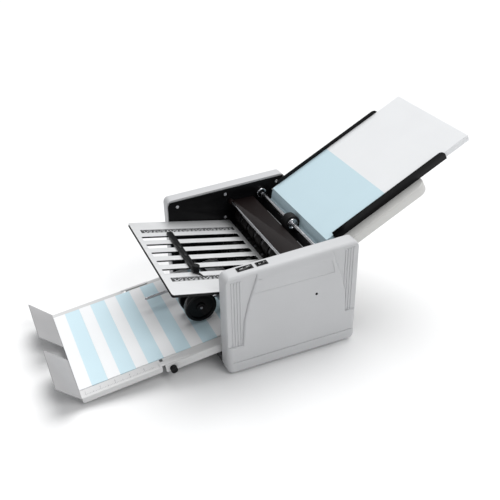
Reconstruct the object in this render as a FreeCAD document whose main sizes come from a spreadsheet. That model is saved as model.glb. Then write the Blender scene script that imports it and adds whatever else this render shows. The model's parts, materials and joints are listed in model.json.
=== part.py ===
import FreeCAD, Part
import math
import os
import re
import Sketcher

# A desk paper folding machine. X runs from the exit tray to the feed table, Y across the
# paper from the operator's side to the far side, and Z up from the table top.
# Every part is one object of this document, and its sizes come from the sheet below.

VERTICAL = FreeCAD.Vector(0, 0, 1)
ACROSS = FreeCAD.Vector(0, 1, 0)
ALONG = FreeCAD.Vector(1, 0, 0)

os.makedirs("parts", exist_ok=True)
doc = FreeCAD.newDocument("paper_folding_machine")
sheet = doc.addObject("Spreadsheet::Sheet", "Sizes")

# Driving sizes in millimetres, and angles in degrees
SIZES = {
    "body": {
        "body_rear": 142, "body_length": 246, "body_bottom": 2,
        "front_top": 198.2, "rear_top": 208,
        "paper_margin": 20.75, "plate_wall": 2, "plate_inset": 1.5, "rim_drop": 4.5,
        "plate_corner": 9, "front_rise": 6,
        "pan_floor": 6, "pan_wall": 1.5, "pan_lip": 14, "rear_panel_height": 62,
        "foot_radius": 11, "foot_inset": 19, "foot_side": 24,
        "tie_radius": 5, "tie_front_back": 20, "tie_inner_front": 36.3, "tie_rear_back": 20,
        "tie_rear_high": 146,
        "hinge_rod_radius": 2.5, "hinge_rod_x": 23.2, "hinge_rod_z": 173.2,
        "screw_radius": 3.2, "screw_head": 1.8, "screw_margin": 9, "fit": 0.05, "gap": 0.3,
        "running": 0.15,
        "overrun": 1,
    },
    "covers": {
        "cover_depth": 30.3, "cover_edge_round": 10, "cover_corner": 12,
        "cover_rim": 4, "cover_wall": 2.5, "column_recess": 4,
        "front_column_low": 27.5, "front_column_high": 58,
        "rear_column_low": 21.5, "rear_column_high": 57,
        "front_ledge": 60, "rear_ledge": 70,
        "rib_radius": 1.6, "rib_pitch": 5, "rib_start": 11,
        "band_top": 27, "band_groove": 1.2, "label_low": 160, "label_high": 185,
        "label_front": 58, "label_rear": 48, "label_tilt": 6, "label_depth": 0.8,
        "foot_arch_high": 4, "foot_arch_front": 20, "foot_arch_rear": 40,
        "cover_hole_x": 60, "cover_hole_z": 125.5, "cover_hole_radius": 2.5, "cover_hole_deep": 2,
    },
    "rollers": {
        "roller_pitch": 32, "roller_gap": 0.4, "roller_end_gap": 5.7, "roller_core": 13.6,
        "journal_radius": 6, "journal_reach": 12, "mouth_to_nip": 22,
        "lower_turn": 8, "exit_turn": 10, "ring_margin": 1.4, "ring_wide": 22, "ring_count": 8,
        "bearing_radius": 9, "bearing_flange": 11, "bearing_lip": 1.5,
        "gear_module": 1.6, "gear_wide": 8, "gear_out": 2.5, "gear_slack": 0.3,
    },
    "drive": {
        "motor_x": 108, "motor_z": 97, "motor_radius": 25, "motor_long": 88,
        "motor_shaft_radius": 3, "motor_hole": 9, "boss_radius": 8, "boss_long": 2,
        "pulley_small": 8, "pulley_large": 22, "pulley_wide": 8, "pulley_flange": 2.5,
        "pulley_out": 13.8, "belt_thick": 1.6, "belt_wide": 5.5, "stud_radius": 3, "stud_head": 5,
        "stud_head_wall": 1.5, "shaft_depth": 10,
    },
    "feed": {
        "feed_x": 88.5, "feed_z": 177.5, "feed_shaft_radius": 4, "tyre_radius": 15, "tyre_wide": 18,
        "tyre_y": -2,
        "hub_radius": 10, "hub_wide": 20, "bush_radius": 10, "bush_wide": 6, "bush_barrel": 7,
        "table_foot_x": 111.5, "table_foot_z": 179.7, "table_slope": 27.6, "table_long": 199,
        "table_lip": 18, "table_wall": 1.5, "table_corner": 20, "table_edge_round": 3,
        "ramp_slope": 49, "ramp_long": 38, "chute_slope": 40, "chute_long": 33, "ramp_wall": 1.2,
        "lip_rod_radius": 2, "lip_rod_reach": 95, "lip_rod_start": 33,
        "pad_clear": 0.4, "pad_long": 16, "pad_wide": 24,
        "holder_wide": 66, "holder_long": 26, "holder_thick": 5,
        "upper_chute_x": 80, "upper_chute_z": 158, "upper_chute_slope": 42, "upper_chute_long": 22,
        "panel_wide": 48, "panel_wall": 2, "panel_lip": 7, "panel_drop": 0.5,
        "knuckle_radius": 5, "knuckle_wide": 10,
    },
    "guides": {
        "paper_wide": 215.9, "paper_side_gap": 0.4, "guide_wall": 1.6, "guide_foot": 26,
        "guide_foot_wall": 1.2, "guide_low": 14, "guide_high": 257, "guide_tall": 20,
        "guide_corner": 12, "guide_stud_at": 100, "guide_stud_side": 12, "guide_travel": 8,
        "clamp_stud_radius": 2.5, "clamp_stud_room": 0.7, "clamp_knob_radius": 9,
        "clamp_knob_tall": 9, "clamp_reach": 16,
    },
    "upper_plate": {
        "mouth_x": 20.8, "mouth_z": 130.9, "plate_tilt": 12.02, "plate_long": 207.4,
        "fold_sheet": 1.2, "paper_gap": 3, "plate_side_gap": 1.2, "plate_round": 4,
        "slot_wide": 14.7, "slot_pitch": 29.3, "slot_margin": 9, "slot_shift": 5, "slot_widening": 4,
        "side_bar_wide": 6.5, "rail_wide": 9, "rail_wall": 2, "rail_front": 11.3,
        "stop_at": 63.2, "stop_wide": 10.5, "stop_tall": 5.2, "stop_reach": 71.5, "stop_lift": 0.4,
        "finger_wide": 9, "finger_long": 5, "finger_down": 7.5,
        "stop_knob_radius": 6.75, "stop_knob_tall": 6.5, "stop_knob_y": -60, "stop_stud_radius": 2.5,
        "pointer_long": 12.5, "pointer_lean": 10, "pointer_wall": 1.2,
    },
    "lower_plate": {
        "low_mouth_x": 33, "low_mouth_z": 84, "low_tilt": 30, "low_long": 98,
        "low_slot_pitch": 70, "low_stop_at": 66, "low_stop_reach": 88,
        "handle_radius": 2, "handle_long": 20,
    },
    "exit": {
        "tray_end_x": -347.5, "tray_end_z": 19.2, "tray_slope": 6.84, "tray_wall": 1.5,
        "tray_near_gap": 1.2, "tray_far_gap": 8.7, "extension_long": 138.5, "joint_gap": 5.5,
        "fixed_tray_long": 190, "extension_lip": 11, "fixed_lip": 16, "lip_round": 4,
        "flap_long": 51.6, "flap_rise": 51, "flap_gap": 40.5,
        "tongue_back": 4, "tongue_long": 54, "near_tongue_wide": 12, "far_tongue_wide": 6.5,
        "tongue_wall": 1.2, "tongue_lift": 0.1, "tongue_round": 2, "slit_long": 25, "far_slit_long": 42,
        "slit_wide": 2, "slit_side": 0.3, "tray_edge_round": 2, "lock_back": 12, "lock_drop": 9.5,
        "lock_radius": 6, "lock_tall": 8, "lock_stud_radius": 2.5, "lock_stud_long": 6,
    },
    "stacker": {
        "pivot_back": 38, "pivot_z": 80, "pivot_radius": 5, "collar_radius": 8.5, "collar_wide": 12,
        "wheel_ahead": 44.5, "wheel_radius": 29, "wheel_wide": 12, "wheel_pitch": 31, "wheel_y": -32.5,
        "axle_radius": 2.5, "arm_radius": 2.5, "axle_boss": 6, "axle_boss_wide": 10, "axle_end": 1.5,
        "rod_y": 31, "rod_long": 121.5, "rod_slope": 6.84, "wheel_clear": 0.3,
    },
    "switches": {
        "switch_side": 10.3, "switch_wide": 11, "power_front": 27, "power_long": 28,
        "feed_switch_front": 61, "feed_switch_long": 20, "bezel_wall": 1.2, "bezel_rise": 1,
        "case_wall": 1, "switch_deep": 16, "rocker_rise": 2, "rocker_gap": 0.8, "rocker_bend": 2.2,
        "rocker_side_gap": 0.4, "rocker_pin_radius": 0.9, "rocker_pin_low": 1.2, "rocker_pin_grip": 0.5,
        "inlet_wide": 27, "inlet_tall": 20, "inlet_deep": 18, "inlet_side": 92, "inlet_high": 34,
        "inlet_flange": 2, "inlet_border": 4, "pin_wide": 2, "pin_tall": 6, "pin_long": 13,
        "pin_pitch": 7, "inlet_well": 14,
    },
    "paper": {
        "stack_long": 309.1, "stack_thick": 11.3, "stack_rest": 0.2, "stack_front": 21,
        "tyre_room": 0.7,
        "sheet_step": 49.3, "sheet_fold": 71, "sheet_count": 6, "sheet_thick": 1.1, "sheet_edge": 0.4,
        "sheet_lift": 0.1,
    },
}


def fill_sheet():
    """Write every driving size into the sheet, one row each, under its own alias."""
    row = 0
    for group, values in SIZES.items():
        row += 1
        sheet.set("A%d" % row, group)
        for alias, number in values.items():
            row += 1
            sheet.set("A%d" % row, alias)
            sheet.set("B%d" % row, str(number))
            sheet.setAlias("B%d" % row, alias)
    doc.recompute()


fill_sheet()
ALIASES = {alias for values in SIZES.values() for alias in values}


def size(alias):
    """One driving size as a number."""
    return float(sheet.get(alias))


def with_sheet(found):
    """A word of a formula, with the sheet's name before it where it is an alias."""
    word = found.group()
    return "Sizes." + word if word in ALIASES else word


def formula(words):
    """A formula in aliases and reference points, as an expression that reads them as plain numbers."""
    words = re.sub(r"(\w+)\.([XZ])\b", r"(\1.\2 / 1 mm)", words)
    return re.sub(r"(?<![\w.])[a-z][a-z_]*(?![\w.(])", with_sheet, words)


def bind(thing, target, words):
    """Tie one property of an object to a formula in aliases."""
    thing.setExpression(target, formula(words))


def place(thing, x="0", y="0", z="0", tilt=None):
    """Tie an object's place to formulas, and turn it about Y where a tilt is given."""
    if tilt is not None:
        thing.Placement = FreeCAD.Placement(FreeCAD.Vector(), FreeCAD.Rotation(ACROSS, 1))
        bind(thing, "Placement.Rotation.Angle", tilt)
    bind(thing, "Placement.Base.x", x)
    bind(thing, "Placement.Base.y", y)
    bind(thing, "Placement.Base.z", z)
    return thing


def point(name, x, z):
    """A named point of the XZ plane that other places are measured from."""
    mark = doc.addObject("Part::Vertex", name)
    bind(mark, "X", x)
    bind(mark, "Z", z)
    return mark


def block(name, along, across, up):
    """A box between pairs of formulas along X, Y and Z."""
    box = doc.addObject("Part::Box", name)
    for target, (low, high) in zip(("Length", "Width", "Height"), (along, across, up)):
        bind(box, target, "(%s) - (%s)" % (high, low))
    return place(box, along[0], across[0], up[0])


def cross_rod(name, radius, across, x="0", z="0"):
    """A cylinder along Y between two formulas."""
    rod = doc.addObject("Part::Cylinder", name)
    rod.Placement = FreeCAD.Placement(FreeCAD.Vector(), FreeCAD.Rotation(ALONG, -90))
    bind(rod, "Radius", radius)
    bind(rod, "Height", "(%s) - (%s)" % (across[1], across[0]))
    return place(rod, x, across[0], z)


def long_rod(name, radius, along, y="0", z="0"):
    """A cylinder along X between two formulas."""
    rod = doc.addObject("Part::Cylinder", name)
    rod.Placement = FreeCAD.Placement(FreeCAD.Vector(), FreeCAD.Rotation(ACROSS, 90))
    bind(rod, "Radius", radius)
    bind(rod, "Height", "(%s) - (%s)" % (along[1], along[0]))
    return place(rod, along[0], y, z)


def post(name, radius, up, x="0", y="0"):
    """A cylinder along Z between two formulas."""
    rod = doc.addObject("Part::Cylinder", name)
    bind(rod, "Radius", radius)
    bind(rod, "Height", "(%s) - (%s)" % (up[1], up[0]))
    return place(rod, x, y, up[0])


def join(name, pieces):
    """One solid from touching pieces."""
    whole = doc.addObject("Part::MultiFuse", name)
    whole.Shapes = pieces
    whole.Refine = True
    return whole


def group(name, pieces):
    """Separate solids that share one sub-part."""
    whole = doc.addObject("Part::Compound", name)
    whole.Links = pieces
    return whole


def cut(name, base, tools):
    """A piece with one or more tools taken away."""
    result = doc.addObject("Part::Cut", name)
    result.Base = base
    result.Tool = tools[0] if len(tools) == 1 else join(name + "_tools", tools)
    result.Refine = True
    return result


def new_body(name):
    return doc.addObject("PartDesign::Body", name)


def sketch_on(body, role):
    """A sketch on one of the body's own origin planes."""
    plane = next(item for item in body.Origin.OriginFeatures if item.Role == role)
    sketch = body.newObject("Sketcher::SketchObject", body.Name + "_sketch")
    sketch.AttachmentSupport = [(plane, "")]
    sketch.MapMode = "FlatFace"
    return sketch


def hold_point(sketch, line, words_x, words_y, start):
    """Fix the first end of a sketch line with two formulas."""
    for kind, words, value, axis in (("DistanceX", words_x, start.x, -2),
                                     ("DistanceY", words_y, start.y, -1)):
        if words == "0":
            sketch.addConstraint(Sketcher.Constraint("PointOnObject", line, 1, axis))
            continue
        index = sketch.addConstraint(Sketcher.Constraint(kind, -1, 1, line, 1, value))
        bind(sketch, "Constraints[%d]" % index, words)


def add_outline(sketch, corners):
    """A closed outline of straight lines, each corner tied to two formulas."""
    first = sketch.GeometryCount
    count = len(corners)
    turn = 2 * math.pi / count
    ring = [FreeCAD.Vector(math.cos(turn * index), math.sin(turn * index), 0) for index in range(count)]
    for index in range(count):
        sketch.addGeometry(Part.LineSegment(ring[index], ring[(index + 1) % count]))
    for index in range(count):
        following = first + (index + 1) % count
        sketch.addConstraint(Sketcher.Constraint("Coincident", first + index, 2, following, 1))
    for index, (words_x, words_y) in enumerate(corners):
        hold_point(sketch, first + index, words_x, words_y, ring[index])


def add_circle(sketch, words_x, words_y, radius):
    """A circle with its centre and radius tied to formulas."""
    index = sketch.addGeometry(Part.Circle(FreeCAD.Vector(1, 1, 0), VERTICAL, 1))
    for kind, words in (("DistanceX", words_x), ("DistanceY", words_y)):
        if words == "0":
            axis = -2 if kind == "DistanceX" else -1
            sketch.addConstraint(Sketcher.Constraint("PointOnObject", index, 3, axis))
            continue
        held = sketch.addConstraint(Sketcher.Constraint(kind, -1, 1, index, 3, 1))
        bind(sketch, "Constraints[%d]" % held, words)
    held = sketch.addConstraint(Sketcher.Constraint("Radius", index, 1))
    bind(sketch, "Constraints[%d]" % held, radius)


def pad(body, sketch, length, backwards=False):
    """Material raised from a sketch. A sketch on XZ rises towards -Y."""
    feature = body.newObject("PartDesign::Pad", body.Name + "_pad")
    feature.Profile = sketch
    bind(feature, "Length", length)
    feature.Reversed = backwards
    sketch.Visibility = False
    return feature


def pocket(body, sketch, length, backwards=False):
    """Material cut away from a sketch. A sketch on XZ cuts towards +Y unless backwards."""
    feature = body.newObject("PartDesign::Pocket", body.Name + "_pocket")
    feature.Profile = sketch
    bind(feature, "Length", length)
    feature.Reversed = backwards
    return feature


def slab(name, role, corners, length):
    """A body that is one outline raised by a length."""
    body = new_body(name)
    sketch = sketch_on(body, role)
    add_outline(sketch, corners)
    pad(body, sketch, length)
    return body


def turned(name, corners):
    """A body turned about Y from half an outline of radius and place along Y."""
    body = new_body(name)
    sketch = sketch_on(body, "XY_Plane")
    add_outline(sketch, corners)
    feature = body.newObject("PartDesign::Revolution", name + "_turn")
    feature.Profile = sketch
    axis = next(item for item in body.Origin.OriginFeatures if item.Role == "Y_Axis")
    feature.ReferenceAxis = (axis, [""])
    feature.Angle = 360
    return body


def edge_names(shape, wanted):
    """Names of a shape's edges that a test accepts."""
    return ["Edge%d" % (index + 1) for index, edge in enumerate(shape.Edges) if wanted(edge)]


PARALLEL_SHARE = 0.999


def runs_along(edge, axis):
    """Whether an edge is straight and parallel to an axis."""
    if edge.Curve.TypeId != "Part::GeomLine":
        return False
    return abs(edge.tangentAt(edge.FirstParameter).dot(axis)) > PARALLEL_SHARE


def round_edges(body, radius, wanted):
    """Round the edges of a body's latest feature that a test accepts."""
    doc.recompute()
    base = body.Tip
    names = edge_names(base.Shape, wanted)
    feature = body.newObject("PartDesign::Fillet", body.Name + "_round")
    feature.Base = (base, names)
    bind(feature, "Radius", radius)
    doc.recompute()
    return feature


NODES = []


def node(thing, label):
    """Name a finished sub-part. Its label is also its file's name."""
    thing.Label = label
    NODES.append(thing)
    return thing


# Reference points: roller axes, hinge and pivot axes, and the origins of the sloped parts
PLATE_IN = "(paper_wide / 2 + paper_margin)"
PLATE_OUT = "(paper_wide / 2 + paper_margin + plate_wall)"
ROLLER_RADIUS = "((roller_pitch - roller_gap) / 2)"
PAPER_LINE = "(fold_sheet + paper_gap / 2)"
ROLLER_TEETH = 20
IDLER_TEETH = 18
GEAR_SPAN = "hypot(feed_x - upper_axis.X; feed_z - upper_axis.Z)"
GEAR_REACH = "(gear_module * %d)" % ((ROLLER_TEETH + IDLER_TEETH) / 2)
IDLER_OFFSET = "sqrt(%s ^ 2 - (%s / 2) ^ 2)" % (GEAR_REACH, GEAR_SPAN)
point("body_front", "body_rear - body_length", "front_top")
point("nip", "mouth_x + mouth_to_nip * cos(plate_tilt) - %s * sin(plate_tilt)" % PAPER_LINE,
      "mouth_z - mouth_to_nip * sin(plate_tilt) - %s * cos(plate_tilt)" % PAPER_LINE)
point("upper_axis", "nip.X + roller_pitch / 2 * sin(plate_tilt)",
      "nip.Z + roller_pitch / 2 * cos(plate_tilt)")
point("drive_axis", "nip.X - roller_pitch / 2 * sin(plate_tilt)",
      "nip.Z - roller_pitch / 2 * cos(plate_tilt)")
point("left_axis", "drive_axis.X - roller_pitch * cos(lower_turn)",
      "drive_axis.Z - roller_pitch * sin(lower_turn)")
point("exit_axis", "left_axis.X + roller_pitch * sin(exit_turn)",
      "left_axis.Z - roller_pitch * cos(exit_turn)")
point("feed_axis", "feed_x", "feed_z")
point("motor_axis", "motor_x", "motor_z")
point("idler_axis",
      "(upper_axis.X + feed_x) / 2 + %s * (feed_z - upper_axis.Z) / %s" % (IDLER_OFFSET, GEAR_SPAN),
      "(upper_axis.Z + feed_z) / 2 - %s * (feed_x - upper_axis.X) / %s" % (IDLER_OFFSET, GEAR_SPAN))
point("plate_end", "mouth_x - plate_long * cos(plate_tilt)", "mouth_z + plate_long * sin(plate_tilt)")
point("ramp_foot", "table_foot_x - ramp_long * cos(ramp_slope)", "table_foot_z - ramp_long * sin(ramp_slope)")
doc.recompute()

ROLLERS = ("upper", "drive", "left", "exit")


def spot(name):
    """Where a reference point is, as numbers."""
    mark = doc.getObject(name)
    return mark.X, mark.Z


# Side plates: black steel, with a bore for each journal and a hole for each tie bar
PLATE_CORNERS = [
    ("body_front.X + plate_inset", "front_rise"),
    ("body_rear - plate_inset", "front_rise"),
    ("body_rear - plate_inset", "rear_top - rim_drop"),
    ("body_front.X + plate_inset", "front_top - rim_drop"),
]
TRAY_TOP = "(tray_end_z + (%s - tray_end_x) * tan(tray_slope))"
TIE_FRONT, TIE_INNER = "(body_front.X + tie_front_back)", "(exit_axis.X - tie_inner_front)"
TIES = {
    "front": (TIE_FRONT, TRAY_TOP % TIE_FRONT + " - (fixed_lip + tie_radius + gap) / cos(tray_slope)"),
    "inner": (TIE_INNER, TRAY_TOP % TIE_INNER + " - fixed_lip / 2"),
    "rear": ("body_rear - tie_rear_back", "tie_rear_high"),
}


def side_plate(side, base_y):
    body = new_body(side + "_plate")
    sketch = sketch_on(body, "XZ_Plane")
    add_outline(sketch, PLATE_CORNERS)
    pad(body, sketch, "plate_wall")
    round_edges(body, "plate_corner", lambda edge: runs_along(edge, ACROSS)
                and edge.BoundBox.ZMin > size("mouth_z"))
    holes = sketch_on(body, "XZ_Plane")
    for roller in ROLLERS:
        add_circle(holes, roller + "_axis.X", roller + "_axis.Z", "bearing_radius + fit")
    add_circle(holes, "feed_x", "feed_z", "bush_barrel + fit")
    if side == "near":
        add_circle(holes, "motor_x", "motor_z", "motor_hole")
    pocket(body, holes, "plate_wall", backwards=True)
    return place(body, y=base_y)


GEAR_Y = "(-%s - gear_out - gear_wide)" % PLATE_OUT
STUD_END = "(%s - running)" % GEAR_Y
idler_stud = cross_rod("idler_stud", "stud_radius", (STUD_END, "-" + PLATE_OUT), "idler_axis.X",
                       "idler_axis.Z")
stud_clip = cross_rod("stud_clip", "stud_head", (STUD_END + " - stud_head_wall", STUD_END), "idler_axis.X",
                      "idler_axis.Z")
near_plate = join("near_plate_with_stud", [side_plate("near", "-" + PLATE_IN), idler_stud, stud_clip])
node(near_plate, "near_side_plate")
node(side_plate("far", PLATE_OUT), "far_side_plate")

# Base pan: floor with a low front lip and the rear panel, which holds the power inlet
PAN_FRONT = "(body_front.X + plate_inset)"
PAN_REAR = "(body_rear - plate_inset)"
pan = slab("base_pan_blank", "XZ_Plane", [
    (PAN_FRONT, "pan_floor"),
    (PAN_REAR, "pan_floor"),
    (PAN_REAR, "pan_floor + rear_panel_height"),
    (PAN_REAR + " - pan_wall", "pan_floor + rear_panel_height"),
    (PAN_REAR + " - pan_wall", "pan_floor + pan_wall"),
    (PAN_FRONT + " + pan_wall", "pan_floor + pan_wall"),
    (PAN_FRONT + " + pan_wall", "pan_floor + pan_lip"),
    (PAN_FRONT, "pan_floor + pan_lip"),
], "2 * " + PLATE_IN)
place(pan, y=PLATE_IN)
inlet_hole = block("inlet_hole", (PAN_REAR + " - pan_wall - overrun", PAN_REAR + " + overrun"),
                   ("inlet_side - inlet_wide / 2", "inlet_side + inlet_wide / 2"),
                   ("inlet_high - inlet_tall / 2", "inlet_high + inlet_tall / 2"))
node(cut("base_pan", pan, [inlet_hole]), "base_pan")

FOOT_SPOTS = [(x, y) for x in ("body_front.X + foot_inset", "body_rear - foot_inset")
              for y in ("foot_side - " + PLATE_IN, PLATE_IN + " - foot_side")]
feet = [post("foot_%d" % index, "foot_radius", ("0", "pan_floor"), x, y) for index,
        (x, y) in enumerate(FOOT_SPOTS)]
node(group("rubber_feet", feet), "rubber_feet")

WHOLE_WIDTH = ("-" + PLATE_IN, PLATE_IN)
tie_bars = [cross_rod("tie_" + name, "tie_radius", WHOLE_WIDTH, x, z) for name, (x, z) in TIES.items()]
tie_bars.append(cross_rod("cover_hinge_rod", "hinge_rod_radius", WHOLE_WIDTH, "hinge_rod_x", "hinge_rod_z"))
node(group("tie_bars", tie_bars), "tie_bars")

# Round screw heads on the inner faces of the side plates, where they pull the covers on
SCREW_SPOTS = [
    ("body_front.X + plate_inset + 2 * screw_margin", "front_top - rim_drop - screw_margin"),
    ("hinge_rod_x - 2 * tie_radius", "(front_top + rear_top) / 2 - rim_drop - screw_margin"),
    ("table_foot_x + screw_head + screw_margin", "rear_top - rim_drop - screw_margin"),
    ("mouth_x - screw_margin", "mouth_z + screw_margin"),
]


def cover_screws():
    heads = []
    for index, (x, z) in enumerate(SCREW_SPOTS):
        heads.append(cross_rod("near_screw_%d" % index, "screw_radius",
                               ("-" + PLATE_IN, "screw_head - " + PLATE_IN), x, z))
        heads.append(cross_rod("far_screw_%d" % index, "screw_radius", (PLATE_IN + " - screw_head", PLATE_IN),
                               x, z))
    return node(group("cover_screws", heads), "cover_screws")


cover_screws()

# Side covers: deep plastic shells, open towards the plates, with a ribbed column at each end
COVER_CORNERS = [
    ("body_front.X", "body_bottom"),
    ("body_rear", "body_bottom"),
    ("body_rear", "rear_top"),
    ("body_front.X", "front_top"),
]
TOP_SLOPE = "((rear_top - front_top) / body_length)"
CAVITY_FLOOR = "body_bottom + foot_arch_high + cover_wall"
CAVITY = [
    ("body_front.X + cover_rim", CAVITY_FLOOR),
    ("body_rear - cover_rim", CAVITY_FLOOR),
    ("body_rear - cover_rim", "rear_top - cover_rim"),
    ("body_front.X + cover_rim", "front_top - cover_rim"),
]
# Each column's curved border, from its ledge to the top edge: shares of its spread and height
COLUMN_BORDER_SHARES = ((0, 0), (0.12, 0.36), (0.38, 0.6), (0.76, 0.86), (1, 1.02))
COVER_ENDS = {
    "front": ("body_front.X", "1", "front_ledge", "front_top"),
    "rear": ("body_rear", "-1", "rear_ledge", "rear_top"),
}


def column_outline(end):
    """The recess of one end column: straight outside the cover, curved beside the centre."""
    edge, inwards, ledge, top = COVER_ENDS[end]
    low, high = end + "_column_low", end + "_column_high"
    past_edge = "%s - %s * overrun" % (edge, inwards)
    corners = [(past_edge, "%s * %s" % (top, COLUMN_BORDER_SHARES[-1][1])), (past_edge, ledge)]
    for across, up in COLUMN_BORDER_SHARES:
        x = "%s + %s * (%s + (%s - %s) * %s)" % (edge, inwards, low, high, low, across)
        corners.append((x, "%s + (%s - %s) * %s" % (ledge, top, ledge, up)))
    return corners


def outward(side, inner, outer):
    """Where a layer of a cover lies across the machine, from its two depths."""
    if side == "near":
        return "-%s - (%s)" % (PLATE_OUT, outer), "-%s - (%s)" % (PLATE_OUT, inner)
    return "%s + (%s)" % (PLATE_OUT, inner), "%s + (%s)" % (PLATE_OUT, outer)


def layer(name, corners, across):
    """An XZ outline that fills a stretch of Y."""
    body = slab(name, "XZ_Plane", corners, "(%s) - (%s)" % (across[1], across[0]))
    return place(body, y=across[1])


def rounded_shell(side):
    """The cover's outside, with round corners and a round outer edge."""
    shell = layer(side + "_cover_shell", COVER_CORNERS, outward(side, "0", "cover_depth"))
    round_edges(shell, "cover_corner", lambda edge: runs_along(edge, ACROSS))
    depth = -size("cover_depth") if side == "near" else 0
    round_edges(shell, "cover_edge_round",
                lambda edge: abs(edge.BoundBox.YMin - depth) + abs(edge.BoundBox.YMax - depth) < size("fit"))
    return shell


LABEL_CORNERS = [
    ("body_front.X + label_front", "label_low"),
    ("body_rear - label_rear", "label_low"),
    ("body_rear - label_rear - label_tilt", "label_high"),
    ("body_front.X + label_front + label_tilt", "label_high"),
]


def cover_hollows(side):
    """What is cut from a cover: cavity, columns, base groove, label place, foot arch and screw hole."""
    deep = "cover_depth - column_recess"
    face = "cover_depth + overrun"
    hollows = [layer(side + "_cavity", CAVITY, outward(side, "-overrun", deep + " - cover_wall"))]
    for end in COVER_ENDS:
        hollows.append(layer("%s_%s_column" % (side, end), column_outline(end), outward(side, deep, face)))
    whole = ("body_front.X - overrun", "body_rear + overrun")
    hollows.append(block(side + "_groove", whole, outward(side, "cover_depth - band_groove", face),
                         ("band_top", "band_top + band_groove")))
    hollows.append(layer(side + "_label", LABEL_CORNERS, outward(side, "cover_depth - label_depth", face)))
    arch = ("body_front.X + foot_arch_front", "body_rear - foot_arch_rear")
    hollows.append(block(side + "_arch", arch, outward(side, "-overrun", face),
                         ("body_bottom - overrun", "body_bottom + foot_arch_high")))
    hollows.append(cross_rod(side + "_screw_hole", "cover_hole_radius",
                             outward(side, "cover_depth - cover_hole_deep",
                                     face), "cover_hole_x", "cover_hole_z"))
    return hollows


RIB_COUNT = 4


def cover_ribs(side):
    """Upright ribs that stand on the floor of each end column."""
    floor_y = outward(side, "cover_depth - column_recess", "0")[1 if side == "near" else 0]
    ribs = []
    for end, (edge, inwards, ledge, top) in COVER_ENDS.items():
        for index in range(RIB_COUNT):
            x = "%s + %s * (rib_start + %d * rib_pitch)" % (edge, inwards, index)
            ribs.append(post("%s_%s_rib_%d" % (side, end, index), "rib_radius",
                             (ledge + " - overrun", top + " - cover_edge_round"), x, floor_y))
    return ribs


# Rocker switches on the near cover's top: each with its place along the cover and its length
SWITCHES = {"power": ("power_front", "power_long"), "feed": ("feed_switch_front", "feed_switch_long")}
SWITCH_Y = "(-%s - switch_side)" % PLATE_OUT
TOP_TILT = "-atan(%s)" % TOP_SLOPE
for name, (front, length) in SWITCHES.items():
    point(name + "_switch_place", "body_front.X + %s + %s / 2" % (front, length),
          "front_top + %s * (%s + %s / 2)" % (TOP_SLOPE, front, length))


def switch_block(name, label, trim, up):
    """A box about a switch's centre, in the switch's own frame."""
    length = SWITCHES[name][1]
    half_wide = "switch_wide / 2 - (%s)" % trim
    return block("%s_%s" % (name, label),
                 ("-%s / 2 + (%s)" % (length, trim), "%s / 2 - (%s)" % (length, trim)),
                 ("-(%s)" % half_wide, half_wide), up)


def at_switch(name, thing):
    """Move a piece from its switch's own frame to the sloped top of the cover."""
    spot_name = name + "_switch_place"
    return place(thing, spot_name + ".X", SWITCH_Y, spot_name + ".Z", TOP_TILT)


def switch_holes():
    """The holes in the near cover's top that take the switch bodies."""
    holes = []
    for name in SWITCHES:
        hole = switch_block(name, "hole", "bezel_wall - gap", ("-switch_deep", "2 * overrun"))
        holes.append(at_switch(name, group(name + "_hole_turned", [hole])))
    return holes


def side_cover(side):
    hollows = cover_hollows(side)
    if side == "near":
        hollows += switch_holes()
    hollow_shell = cut(side + "_hollow_shell", rounded_shell(side), hollows)
    return node(join(side + "_cover", [hollow_shell] + cover_ribs(side)), side + "_cover")


side_cover("near")
side_cover("far")


WELL_TRIM = "(bezel_wall + case_wall)"
WELL_SIDE = "switch_wide / 2 - " + WELL_TRIM


def switch_body(name):
    """A switch's black body: a rim on the cover's top and a case below it, open for the rocker."""
    rim = switch_block(name, "rim", "0", ("0", "bezel_rise"))
    case = switch_block(name, "case", "bezel_wall", ("-switch_deep", "bezel_rise"))
    well = switch_block(name, "well", WELL_TRIM, ("-switch_deep / 2", "bezel_rise + overrun"))
    reach = WELL_SIDE + " + rocker_pin_grip + running"
    seat = cross_rod(name + "_pin_seat", "rocker_pin_radius + running", ("-(%s)" % reach, reach), "0",
                     "-rocker_pin_low")
    return at_switch(name, cut(name + "_switch_body", join(name + "_switch_case", [rim, case]), [well, seat]))


def switch_rocker(name):
    """A rocker on its pin, in its off position: its rear end stands up and its front end lies low."""
    half = "(%s / 2 - %s - rocker_gap)" % (SWITCHES[name][1], WELL_TRIM)
    outline = [
        ("-" + half, "-rocker_bend"),
        ("0", "-2 * rocker_bend"),
        (half, "-rocker_bend"),
        (half, "bezel_rise + rocker_rise"),
        ("0", "bezel_rise"),
        ("-" + half, "bezel_rise - rocker_gap"),
    ]
    half_wide = "(%s - rocker_side_gap)" % WELL_SIDE
    prism = layer(name + "_rocker_prism", outline, ("-" + half_wide, half_wide))
    reach = WELL_SIDE + " + rocker_pin_grip"
    pin = cross_rod(name + "_rocker_pin", "rocker_pin_radius", ("-(%s)" % reach, reach), "0",
                    "-rocker_pin_low")
    return node(at_switch(name, join(name + "_rocker", [prism, pin])), name + "_rocker")


node(group("switch_bodies", [switch_body(name) for name in SWITCHES]), "switch_bodies")
for name in SWITCHES:
    switch_rocker(name)


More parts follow.
